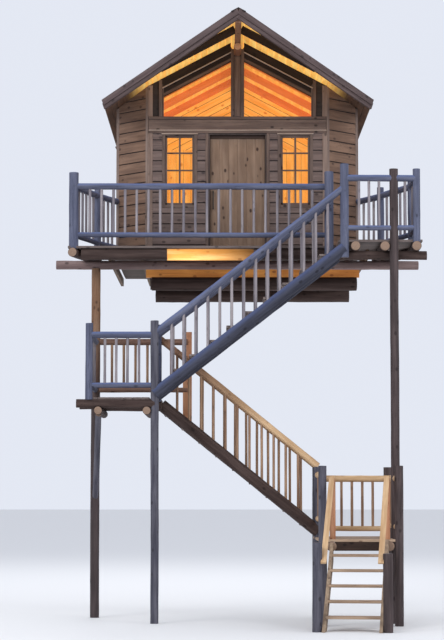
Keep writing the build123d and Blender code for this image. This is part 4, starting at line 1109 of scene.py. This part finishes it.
def make_stringers(name, spans, pitch, drop, wood):
    """The log stringers of a flight, under its line of nosings: one for each (y, left, right)."""
    logs = [
        log((left, y, pitch(left) - drop), (right, y, pitch(right) - drop), STRINGER_D)
        for y, left, right in spans
    ]
    node = name + "_flight_stringers"
    finish_piece(name + "_stringers", logs, [wood, GREY_END], [node])


def make_treads(name, floor, risers, rise, edge, going, way):
    """The treads of a flight that rises from its edge towards +X (way 1) or -X (way -1)."""
    node = name + "_flight_treads"
    low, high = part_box(node)
    treads = []
    for step in range(1, risers):
        top = floor + step * rise
        nose = edge + way * (step - 1) * going - way * NOSING
        left, right = sorted((nose, nose + way * TREAD_DEPTH))
        treads.append(slab((left, low.y, top - TREAD_T), (right, high.y, top), "y", TREAD_SOFT))
    finish_piece(name + "_treads", treads, [TREAD_WOOD], [node])


def make_flights():
    """The two log flights: stringers, treads and rails."""
    outer = (FRONT_ROW, LANDING_POST_X, BAY_NEWEL_X)
    inner = (UPPER_INNER, UPPER_EDGE_X, BAY_EDGE_X)
    make_stringers("upper", (outer, inner), upper_pitch, UPPER_DROP, STRINGER_WOOD)
    spans = [(y, LOWER_EDGE_X, LOWER_NEWEL_X) for y in (LOWER_OUTER, BACK_ROW)]
    make_stringers("lower", spans, lower_pitch, LOWER_DROP, BEAM_WOOD)
    make_treads("upper", MID_FLOOR, UPPER_RISERS, UPPER_RISE, UPPER_EDGE_X, UPPER_GOING, 1)
    make_treads("lower", LOW_FLOOR, LOWER_RISERS, LOWER_RISE, LOW_EDGE_X, LOWER_GOING, -1)

    upper = (upper_pitch, UPPER_RAIL_RISE, UPPER_DROP)
    panels = [
        flight_panel(FRONT_ROW, LANDING_POST_X, BAY_NEWEL_X, *upper),
        flight_panel(UPPER_INNER, INNER_NEWEL_X, DECK_CORNER_X, *upper),
    ]
    finish_rails("upper_rails", panels, "upper_flight_rails")
    lower = (lower_pitch, LOWER_RAIL_RISE, LOWER_DROP)
    panels = [
        flight_panel(LOWER_OUTER, INNER_NEWEL_X, LOWER_NEWEL_X, *lower, inset=0.13),
        flight_panel(BACK_ROW, REAR_NEWEL_X, LOWER_NEWEL_X, *lower),
    ]
    finish_rails("lower_rails", panels, "lower_flight_rails", PALE_LAMP_LIT_RAIL_WOOD, WARM_LAMP_LIT_BALUSTER_WOOD)


def stair_spot(aside, back, z):
    """A point given across the bottom stair, back from its top edge, and up."""
    return Vector((BOTTOM_X, LOW_FRONT_Y, z)) + ACROSS * aside + BACKWARD * back


def make_bottom_stair():
    """The bottom stair's treads and handrails; its planks keep their solids."""
    treads = []
    past_planks = 0.015
    half = BOTTOM_WIDTH / 2 + past_planks
    for step in range(1, BOTTOM_RISERS):
        middle = -(BOTTOM_RISERS - step) * BOTTOM_GOING - NOSING + TREAD_DEPTH / 2
        z = step * BOTTOM_RISE - TREAD_T / 2
        start, end = stair_spot(-half, middle, z), stair_spot(half, middle, z)
        treads.append(board(start, end, TREAD_DEPTH, TREAD_T, TREAD_SOFT))
    finish_piece("bottom_treads", treads, [LAMP_LIT_TREAD_WOOD], ["bottom_stair_treads"])
    rails = []
    rail_w, rail_t, rise, newel_size, newel_back = 0.085, 0.045, 1.000, 0.085, 0.105
    top = LOW_FLOOR + rise - rail_t / 2
    end_run = FOOT_NEWEL_RUN + 0.060
    level_start, level_end = 0.01, newel_back + newel_size / 2
    sloped_t = rail_t * 0.76
    for side in (-1, 1):
        x = side * PLANK_X
        start, end = stair_spot(x, level_start, top), stair_spot(x, level_end, top)
        rails.append(board(start, end, rail_w, rail_t))
        low = stair_spot(x, -end_run, top - end_run * BOTTOM_SLOPE)
        rails.append(board(low, stair_spot(x, 0, top), rail_w, sloped_t))
    finish_piece("bottom_handrails", rails, [PALE_LAMP_LIT_RAIL_WOOD], ["bottom_stair_handrails"])


# Floors

def deck_edges(y):
    """X of the deck's two edges, which draw in from its front to a knee and on to the walls."""
    front, knee, wall = (-0.446, DECK_RIGHT_X), (-0.085, 4.945), (0.300, 4.500)
    knee_y = 0.510
    if y < knee_y:
        near, far, start_y, end_y = front, knee, DECK_FRONT_Y, knee_y
    else:
        near, far, start_y, end_y = knee, wall, knee_y, SPLAY_Y
    share = (y - start_y) / (end_y - start_y)
    return [start + (end - start) * share for start, end in zip(near, far)]


def floor_strips(first, last, edge):
    """The near and far edges of a floor's boards, the last one cut at the floor's edge."""
    return [(near, min(far, edge)) for near, far in strips(first, last, FLOOR_BOARD_W, FLOOR_GAP)]


def make_floors():
    """Boarded floors, laid across their joists."""
    boards = []
    deck_low = DECK_FLOOR - BOARD_T
    for y, far in floor_strips(DECK_FRONT_Y, SPLAY_Y - 0.02, SPLAY_Y):
        middle = (y + far) / 2
        left, right = deck_edges(middle)
        inner = middle - WALL_Y
        spans = [(left, right)]
        if inner >= 0:
            spans = [(left, at(-HALF_FRONT - inner)), (at(HALF_FRONT + inner), right)]
        for start, end in spans:
            boards.append(slab((start, y, deck_low), (end, far, DECK_FLOOR)))
    for y, far in floor_strips(FRONT_ROW, -0.760, DECK_FRONT_Y - FLOOR_GAP):
        boards.append(slab((BAY_EDGE_X, y, deck_low), (DECK_RIGHT_X, far, DECK_FLOOR)))
    finish_piece("deck_boards", boards, [FLOOR_WOOD], ["deck_floor"])

    boards = []
    for x, far in floor_strips(LANDING_LEFT_X, LANDING_EDGE_X - 0.005, LANDING_EDGE_X):
        low_y = FRONT_ROW if x < UPPER_EDGE_X - 0.05 else LANDING_MIDDLE
        boards.append(slab((x, low_y, MID_FLOOR - BOARD_T), (far, BACK_ROW, MID_FLOOR), "y"))
    finish_piece("landing_boards", boards, [FLOOR_WOOD], ["mid_landing_floor"])

    boards = []
    for y, far in floor_strips(LOW_FRONT_Y, 0, 0.02):
        low, high = (LOW_EDGE_X, y, LOW_FLOOR - BOARD_T), (LOW_FLOOR_RIGHT_X, far, LOW_FLOOR)
        boards.append(slab(low, high))
    node = "low_landing_floor"
    finish_piece("low_landing_boards", boards, [LAMP_LIT_TREAD_WOOD], [node])
    low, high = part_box("low_landing_beams")
    into_logs, set_back, header_t = SMALL_LOG_D * 0.8, 0.006, 0.040
    low += Vector((into_logs, set_back, 0))
    header = slab(low, (high.x - into_logs, low.y + header_t, high.z))
    # The header board takes painted shade, for the shade under the low landing.
    finish_piece("low_landing_header", [header], [PAINTED_SHADE_WOOD])


# Cabin

def siding_rows(low, high):
    """The lower and upper edges of each course of siding."""
    rows = strips(low, high - LEAST_SIDING, SIDING_PITCH, SIDING_GAP)
    return [(foot, min(top, high)) for foot, top in rows]


def lapped(start, end, low, high, outward):
    """One course of siding on a wall's face, leaning out a little at its lower edge."""
    start, end, outward = Vector(start), Vector(end), Vector(outward)
    lift = Vector((0, 0, (low + high) / 2))
    out = outward * (SIDING_T / 2)
    piece = board(start + lift + out, end + lift + out, high - low, SIDING_T, roll=math.pi / 2)
    for vertex in piece.data.vertices:
        share = (high - vertex.co.z) / (high - low)
        vertex.co += outward * (SIDING_LEAN * (share - 0.5))
    return piece


def make_front_siding():
    """Courses beside the door and the windows, between the casings and corner boards."""
    pieces = []
    near, far = WINDOW_X - WINDOW_HALF - CASING_W, WINDOW_X + WINDOW_HALF + CASING_W
    sill, head = WINDOW_LOW - CASING_W, WINDOW_TOP + CASING_W
    for side in (-1, 1):
        for low, high in siding_rows(DECK_FLOOR, HEADER_LOW):
            if high <= sill or low >= head:
                spans = [(CASING_EDGE, CORNER_INNER, low, high)]
            else:
                spans = [(CASING_EDGE, near, low, high), (far, CORNER_INNER, low, high)]
                if low < sill - LEAST_SIDING:
                    spans.append((near, far, low, sill))
                if high > head + LEAST_SIDING:
                    spans.append((near, far, head, high))
            for inner, outer, foot, top in spans:
                left, right = across(side, inner, outer)
                pieces.append(lapped((left, WALL_Y, 0), (right, WALL_Y, 0), foot, top, (0, -1, 0)))
    finish_boards("front_siding", pieces, SIDING_WOOD)


def cut_to_roof(piece, side):
    """Cut a wall's boards to the underside of one side of the roof."""
    bisect(piece, (HOUSE_X, 0, UNDER_RIDGE - 0.003), roof_axes(side)[1])


def make_side_siding():
    """Courses on the slanted, side and back walls, cut to the roof."""
    back_from_corner, joint_room = 0.05, 0.8
    for side, name in ((-1, "left"), (1, "right")):
        pieces = []
        front, rear, along, out = slanted_wall(side)
        inset = along * back_from_corner
        for low, high in siding_rows(DECK_FLOOR, under_roof(HALF_FRONT)):
            pieces.append(lapped(front + inset, rear - inset, low, high, out))
        start, end = SPLAY_Y + back_from_corner, BACK_Y - back_from_corner
        for low, high in siding_rows(DECK_FLOOR, under_roof(HALF_BODY)):
            joint = chance.uniform(SPLAY_Y + joint_room, BACK_Y - joint_room)
            for near, far in ((start, joint - HALF_JOINT), (joint + HALF_JOINT, end)):
                places = (rear.x, near, 0), (rear.x, far, 0)
                pieces.append(lapped(*places, low, high, (side, 0, 0)))
        piece = joined("siding_" + name, pieces)
        cut_to_roof(piece, side)
        finish_boards("siding_" + name, [piece], WARM_SIDING_WOOD)
    pieces = []
    for low, high in siding_rows(DECK_FLOOR, UNDER_RIDGE):
        half = min(HALF_BODY - back_from_corner, (UNDER_RIDGE - low) / ROOF_SLOPE)
        joint = chance.uniform(-0.6, 0.6) * half
        for near, far in ((-half, joint - HALF_JOINT), (joint + HALF_JOINT, half)):
            places = (at(near), BACK_Y, 0), (at(far), BACK_Y, 0)
            pieces.append(lapped(*places, low, high, (0, 1, 0)))
    piece = joined("siding_back", pieces)
    for side in (-1, 1):
        cut_to_roof(piece, side)
    finish_boards("siding_back", [piece], WARM_SIDING_WOOD)


def wall_board(left, right, low, high, proud, along="z"):
    """A board on the face of the front wall, between two X and two heights."""
    return slab((left, WALL_Y - proud, low), (right, WALL_Y, high), along)


def make_trim():
    """Corner boards, the door's casing, the header board and the gable's centre post."""
    corners, pieces, pale = [], [], []
    for side in (-1, 1):
        ends = across(side, CORNER_INNER, HALF_FRONT + 0.012)
        for low, high in ((DECK_FLOOR, HEADER_LOW), (HEADER_TOP, under_roof(HALF_FRONT))):
            corners.append(wall_board(*ends, low, high, CORNER_PROUD))
        ends = across(side, DOOR_HALF, CASING_EDGE)
        pieces.append(wall_board(*ends, DECK_FLOOR, HEADER_LOW, CASING_PROUD))
    corners += side_corners()
    ends = across(1, -HALF_FRONT, HALF_FRONT)
    for low, high, proud, chosen in (
        (HEADER_LOW, HEADER_LOW + 0.045, 0.030, pieces),
        (HEADER_LOW + 0.045, HEADER_LOW + 0.060, 0.036, pale),
        (HEADER_LOW + 0.062, HEADER_TOP - 0.052, 0.022, pieces),
        (HEADER_TOP - 0.045, HEADER_TOP, 0.032, pieces),
    ):
        chosen.append(wall_board(*ends, low, high, proud, "x"))
    strip_half, cap = WINDOW_HALF + 0.065, HEADER_LOW - 0.004
    for side in (-1, 1):
        middle = at(side * WINDOW_X)
        ends = middle - strip_half, middle + strip_half
        pale.append(wall_board(*ends, cap - 0.014, cap, 0.036, "x"))
    post_top = min(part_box("gable_posts")[1].z, UNDER_RIDGE - 0.17)
    for x, half, top, proud in (
        (-0.088, 0.027, post_top, 0.030),
        (0.088, 0.027, post_top, 0.030),
        (0, 0.055, post_top - 0.13, 0.044),
    ):
        pieces.append(wall_board(at(x - half), at(x + half), HEADER_TOP, top, proud))
    finish_boards("front_trim", pieces, TRIM_WOOD)
    finish_boards("corner_boards", corners, CORNER_WOOD)
    finish_boards("pale_strips", pale, PALE_STRIP_WOOD)


def side_corners():
    """Boards that close the siding at the corners of the slanted, side and back walls."""
    wide, thick = 0.055, CORNER_PROUD
    low = Vector((0, 0, DECK_FLOOR))
    high = Vector((0, 0, under_roof(HALF_BODY + thick)))
    front_high = Vector((0, 0, under_roof(HALF_FRONT + wide)))
    pieces = []
    for side in (-1, 1):
        front, rear, along, out = slanted_wall(side)
        back = Vector((rear.x, BACK_Y, 0))
        for spot, turn, top in (
            (front + along * wide / 2 + out * thick / 2, side * 45, front_high),
            (rear - along * wide / 2 + out * thick / 2, side * 45, high),
            (rear + Vector((side * thick / 2, wide / 2, 0)), 90, high),
            (back + Vector((side * thick / 2, -wide / 2 + thick, 0)), 90, high),
            (back + Vector((-side * wide / 2, thick / 2, 0)), 0, high),
        ):
            pieces.append(board(spot + low, spot + top, wide, thick, roll=math.radians(turn)))
    return pieces


def make_gable_trim():
    """Boards on the front wall's rafters, a pale strip, and the frames of the gable's glass."""
    near, far = 0.112, 1.306
    dark, frames, pale = [], [], []
    for pieces, top, low, proud in (
        (dark, 0.004, 0.160, 0.028),
        (pale, 0.164, 0.182, 0.034),
        (dark, 0.186, 0.250, 0.010),
        (frames, 0.272, 0.322, 0.018),
    ):
        for side in (-1, 1):
            middle, y = (top + low) / 2, WALL_Y - proud / 2
            ends = [roof_spot(side, distance, y, middle) for distance in (near, far)]
            pieces.append(board(*ends, proud, (low - top) / STRETCH))
    for side in (-1, 1):
        for inner, outer, proud in ((far - 0.030, far, 0.012), (far, far + 0.055, 0.036)):
            ends = across(side, inner, outer)
            frames.append(wall_board(*ends, HEADER_TOP, under_roof(outer) - 0.004, proud))
    finish_boards("gable_chords", dark, RAFTER_WOOD)
    finish_boards("gable_strips", pale, PALE_STRIP_WOOD)
    finish_boards("gable_frames", frames, TRIM_WOOD)


def make_windows():
    """Casings, sashes and glazing bars of the two windows."""
    sash, post_half, bar_half = 0.034, 0.016, 0.013
    back = WALL_Y + 0.040
    low, high = WINDOW_LOW, WINDOW_TOP
    foot, head = low - CASING_W, high + CASING_W
    pieces = []
    for side in (-1, 1):
        middle = at(side * WINDOW_X)
        left, right = middle - WINDOW_HALF, middle + WINDOW_HALF
        for ends, heights, along in (
            ((left - CASING_W, left), (foot, head), "z"),
            ((right, right + CASING_W), (foot, head), "z"),
            ((left, right), (high, head), "x"),
            ((left, right), (foot, low), "x"),
        ):
            pieces.append(wall_board(*ends, *heights, CASING_PROUD, along))
        middle = (left + right) / 2
        rows = [low + (high - low) * step / 4 for step in (1, 2, 3)]
        parts = [
            ((left, left + sash), (low, high), 0.005, "z"),
            ((right - sash, right), (low, high), 0.005, "z"),
            ((left, right), (high - sash, high), 0.005, "x"),
            ((left, right), (low, low + sash), 0.005, "x"),
            ((middle - post_half, middle + post_half), (low, high), 0.010, "z"),
        ]
        parts += [((left, right), (z - bar_half, z + bar_half), 0.012, "x") for z in rows]
        for ends, heights, recess, along in parts:
            start, end = zip(ends, (WALL_Y + recess, back), heights)
            pieces.append(slab(start, end, along))
    finish_piece("window_sashes", pieces, [TRIM_WOOD], ["window_frames"])


def make_door():
    """Vertical planks on the door, with narrow joints, and the stops in front of it in painted shade; the
    stop over the door's head stands for the shadow under the header.
    """
    low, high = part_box("door")
    count = 6
    width = (high.x - low.x) / count
    planks = []
    for step in range(count):
        x = low.x + step * width
        planks.append(slab((x, low.y, low.z), (x + width, high.y, high.z), "z", 0.005))
    finish_piece("door_planks", planks, [DOOR_WOOD], ["door"], DOOR)
    leaf_gap, over, stop_t = 0.008, 0.008, 0.018
    stop_y = low.y - 0.006
    top = high.z + 0.005
    stops = [
        slab((left, stop_y - stop_t, foot), (right, stop_y, end), along)
        for left, right, foot, end, along in (
            (low.x - leaf_gap, low.x + over, DECK_FLOOR, top, "z"),
            (high.x - over, high.x + leaf_gap, DECK_FLOOR, top, "z"),
            (low.x, high.x, high.z - 0.055, high.z + over, "x"),
        )
    ]
    finish_piece("door_stops", stops, [PAINTED_SHADE_WOOD])


# Roof

def roof_turn(side):
    """The turn that lays a level board on one side of the roof."""
    return Matrix.Rotation(ROOF_ANGLE * side, 4, "Y")


def make_roof():
    """The lining boards and the shingles of the roof's two sides."""
    run = EAVE_HALF * STRETCH
    lining_boards, lining_joint = 22, 0.004
    width = run / lining_boards
    exposure, length, shingle_gap = 0.150, 0.190, 0.004
    for side, name in ((-1, "left"), (1, "right")):
        down, out = roof_axes(side)
        ridge_under = Vector((HOUSE_X, PROW_Y, UNDER_RIDGE)) + out * (LINING_T / 2)
        depth = ROOF_BACK_Y - PROW_Y
        boards = []
        for step in range(lining_boards):
            start = ridge_under + down * (width * (step + 0.5))
            size = width - lining_joint, LINING_T - 0.002
            piece = board((0, 0, 0), (0, depth, 0), *size, soft=0.004)
            piece.data.transform(Matrix.Translation(start) @ roof_turn(side))
            boards.append(piece)
        piece = joined("lining_" + name, boards)
        cut_to_prow(piece, side)
        mark_faces(
            piece, lambda face: face.normal.dot(out) > -0.5 and abs(face.normal.dot(down)) < 0.9
        )
        woods = [GLOWING_LINING_WOOD, BARGE_WOOD]
        finish_piece("lining_" + name, [piece], woods, ["roof_boards_" + name])

        shingles = []
        for course in range(int(run / exposure) + 1):
            low_edge = run - course * exposure
            y = PROW_Y
            while y < ROOF_BACK_Y - 0.05:
                wide = chance.uniform(0.10, 0.20)
                shingles.append(shingle(side, low_edge, length, y, min(y + wide, ROOF_BACK_Y)))
                y += wide + shingle_gap
        piece = joined("shingles_" + name, shingles)
        cut_to_prow(piece, side)
        node = "roof_covering_" + name
        finish_piece("shingles_" + name, [piece], [SHINGLE], [node])


def make_ridge_caps():
    """Short bent caps over the ridge, each on the tail of the one before."""
    reach, thickness, length, exposure, tilt = 0.140, 0.008, 0.200, 0.150, 0.035
    caps = []
    y = ROOF_BACK_Y
    while y > PROW_Y + 0.04:
        front = max(y - length, PROW_Y)
        for side in (-1, 1):
            middle = Vector((HOUSE_X, 0, RIDGE_Z - 0.002)) + roof_axes(side)[0] * (reach / 2)
            piece = board((0, front, 0), (0, y, 0), reach, thickness, 0.001)
            back, forth = Matrix.Translation((0, y, 0)), Matrix.Translation((0, -y, 0))
            lean = back @ Matrix.Rotation(tilt, 4, "X") @ forth
            piece.data.transform(Matrix.Translation(middle) @ roof_turn(side) @ lean)
            caps.append(piece)
        y -= exposure
    finish_piece("ridge_caps", caps, [SHINGLE])


def shingle(side, low_edge, length, start_y, end_y):
    """One shingle: a thin board, raised at its lower edge, on the roof's slope."""
    if "shingle" not in stock:
        keep_in_stock("shingle", board((-0.5, 0, 0), (0.5, 0, 0), 1, 0.014, 0))
    tilt = 0.010
    half = max(0.02, min(length, low_edge)) / 2
    down, out = roof_axes(side)
    base = Vector((HOUSE_X, 0, RIDGE_Z)) - out * (COVERING_T - 0.008)
    middle = base + down * (low_edge - half)
    middle.y = (start_y + end_y) / 2
    lift = Matrix.Rotation(ROOF_ANGLE * side + side * -tilt / length, 4, "Y")
    size = Matrix.Diagonal((2 * half, end_y - start_y, 1, 1))
    place = Matrix.Translation(middle) @ lift @ size
    return placed_copy("shingle", stock["shingle"], grain_shift(), place)


def cut_to_prow(piece, side):
    """Cut a roof layer to the slanted front edge and to the ridge."""
    bisect(piece, (HOUSE_X, PROW_Y, 0), prow_normal(side))
    bisect(piece, (HOUSE_X, 0, 0), (-side, 0, 0))


def prow_edge(side, drop, out):
    """The two ends of the roof's slanted front edge, some way below the lining and out in front."""
    outward = prow_normal(side) * out
    top, low = roof_spot(side, 0, PROW_Y, drop), roof_spot(side, EAVE_HALF, EAVE_FRONT_Y, drop)
    return top + outward, low + outward


def make_roof_timbers():
    """Barge boards in two layers, ridge beam and rafters."""
    barge_t, barge_h, edge_h, edge_t, soft = 0.040, 0.125, 0.115, 0.020, 0.004
    fall = math.hypot(1, ROOF_SLOPE * EAVE_HALF / math.hypot(EAVE_HALF, EAVE_FRONT_Y - PROW_Y))
    back_y = ROOF_BACK_Y - barge_t / 2
    pieces = []
    for side in (-1, 1):
        ends = prow_edge(side, barge_h / 2, -barge_t / 2)
        pieces.append(board(*ends, barge_t, barge_h / fall, soft))
        ends = prow_edge(side, edge_h / 2 - 0.060, edge_t / 2)
        pieces.append(board(*ends, edge_t, edge_h / fall, soft))
        ends = [roof_spot(side, distance, back_y, barge_h / 2) for distance in (0, EAVE_HALF)]
        pieces.append(board(*ends, barge_t, barge_h / STRETCH, soft))
    finish_piece("barge_boards", pieces, [BARGE_WOOD], ["barge_boards"])
    low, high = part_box("ridge_beam")
    beam = slab((low.x, low.y, low.z), (high.x, high.y, under_roof(BEAM_HALF)), "y")
    finish_piece("ridge_beam", [beam], [BEAM_WARM_WOOD], ["ridge_beam"])
    outer = joined("outer_rafters", rafter_pair(FLY_RAFTER_Y, 0.050, 0.150, EAVE_HALF))
    for side in (-1, 1):
        bisect(outer, (HOUSE_X, PROW_Y + 0.050, 0), prow_normal(side))
    finish_piece("outer_rafters", [outer], [RAFTER_WOOD], ["rafters"])
    inner = []
    for step in (1, 2, 3):
        inner += rafter_pair(WALL_Y + step * 1.100, 0.060, 0.140, HALF_BODY - WALL_T)
    finish_piece("inner_rafters", inner, [GLOWING_RAFTER_WOOD], ["rafters"])


def rafter_pair(y, thickness, depth, reach):
    """Two rafters under the lining, from the ridge beam out; depth is measured upright."""
    pieces = []
    for side in (-1, 1):
        ends = [roof_spot(side, distance, y, depth / 2) for distance in (BEAM_HALF, reach)]
        pieces.append(board(*ends, thickness, depth / STRETCH, 0.004))
    return pieces


# Inside, and the nodes that keep their shapes

def make_inside():
    """Pine panelling inside the walls, with a painted glow."""
    pieces = []
    half = HALF_BODY - WALL_T
    back = BACK_Y - WALL_T
    least = 0.01
    for side in (-1, 1):
        left, right = across(side, half, half - PANELLING_T)
        top = under_roof(half) - 0.01
        for near, far in strips(SPLAY_Y + 0.05, back - least, PANELLING_W, PANELLING_GAP):
            pieces.append(slab((left, near, DECK_FLOOR), (right, min(far, back), top), "z", 0))
    for near, far in strips(-half, half - least, PANELLING_W, PANELLING_GAP):
        far = min(far, half)
        top = min(HEADER_TOP, under_roof(max(abs(near), abs(far))) - 0.01)
        low = (at(near), back - PANELLING_T, DECK_FLOOR)
        pieces.append(slab(low, (at(far), back, top), "z", 0))
    y = back - PANELLING_T / 2
    width = (PANELLING_W - 0.010) / STRETCH
    for side in (-1, 1):
        slanted = []
        drop = 0.012
        while UNDER_RIDGE - drop > HEADER_TOP:
            ends = [roof_spot(side, distance, y, drop + PANELLING_W / 2) for distance in (0, half)]
            slanted.append(board(*ends, PANELLING_T, width, 0))
            drop += PANELLING_W
        piece = joined("gable_panelling", slanted)
        bisect(piece, (0, 0, HEADER_TOP), (0, 0, -1))
        bisect(piece, (HOUSE_X, 0, 0), (-side, 0, 0))
        pieces.append(piece)
    finish_piece("pine_panelling", pieces, [GLOWING_PANELLING_WOOD])


def paint_kept():
    """Finishes of the nodes that keep their CAD shapes."""
    for material, nodes in (
        (JOIST_WOOD, ("deck_joists",)),
        (LIT_BEAM_WOOD, ("sawn_beams",)),
        (LIT_FASCIA_WOOD, ("front_fascia",)),
        (LAMP_LIT_NEWEL_WOOD, ("sawn_newels",)),
        (STAIR_PLANK_WOOD, ("bottom_stair_stringers",)),
        (CABIN_FLOOR_WOOD, ("cabin_floor",)),
        (SHADED_JAMB_WOOD, ("door_jambs", "door_head")),
        (IRON, ("door_pull", "hinge_pins", "hinge_leaves")),
        (GLASS, ("glass_panes",)),
        (SHADED_WALL_CORE_WOOD, ("front_walls", "front_wall_header", "gable_posts", "gable_rafters")),
        (SHADED_WALL_CORE_WOOD, ("splay_walls", "side_walls", "back_wall")),
    ):
        for node in nodes:
            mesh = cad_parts[node].data
            mesh.materials.clear()
            mesh.materials.append(material)


# Stage

def make_stage():
    """A pale floor, a soft light all round, and three soft lamps."""
    clear_selection()
    bpy.ops.mesh.primitive_plane_add(size=400, location=(0, 0, -0.002))
    floor = bpy.context.object
    floor.name = "pale_floor"
    pale = {"Base Color": (0.78, 0.78, 0.78, 1), "Roughness": 0.9}
    floor.data.materials.append(new_material("pale_floor", pale)[0])
    world = bpy.data.worlds.new("soft_sky")
    bpy.context.scene.world = world
    world.use_nodes = True
    background = world.node_tree.nodes["Background"]
    background.inputs["Color"].default_value = (0.86, 0.90, 1.0, 1)
    background.inputs["Strength"].default_value = 0.9
    for place, energy, size in (
        ((-14, -22, 20), 3200, 10),
        ((18, -16, 14), 1500, 9),
        ((2, 18, 22), 1800, 10),
    ):
        lamp = bpy.data.lights.new("soft_lamp", "AREA")
        lamp.energy = energy
        lamp.size = size
        holder = bpy.data.objects.new("soft_lamp", lamp)
        holder.location = place
        aim = Vector((2.4, 0.5, 5.0)) - Vector(place)
        holder.rotation_euler = aim.to_track_quat("-Z", "Y").to_euler()
        bpy.context.collection.objects.link(holder)


def make_camera():
    """The camera at the photograph's place and angle."""
    lens = bpy.data.cameras.new("camera")
    lens.sensor_width = SENSOR_MM
    lens.sensor_fit = "AUTO"
    lens.lens = SENSOR_MM * PHOTO_FOCAL_PX / PHOTO_HEIGHT_PX
    lens.clip_end = 500
    holder = bpy.data.objects.new("camera", lens)
    holder.location = EYE
    holder.rotation_euler = (math.pi / 2 + TILT_UP, 0, 0)
    bpy.context.collection.objects.link(holder)
    bpy.context.scene.camera = holder


make_camera()
make_posts()
make_beams()
make_level_rails()
make_flights()
make_bottom_stair()
make_floors()
make_front_siding()
make_side_siding()
make_trim()
make_gable_trim()
make_windows()
make_door()
make_roof()
make_ridge_caps()
make_roof_timbers()
make_inside()
paint_kept()
make_stage()
bpy.context.scene.view_settings.view_transform = "Standard"
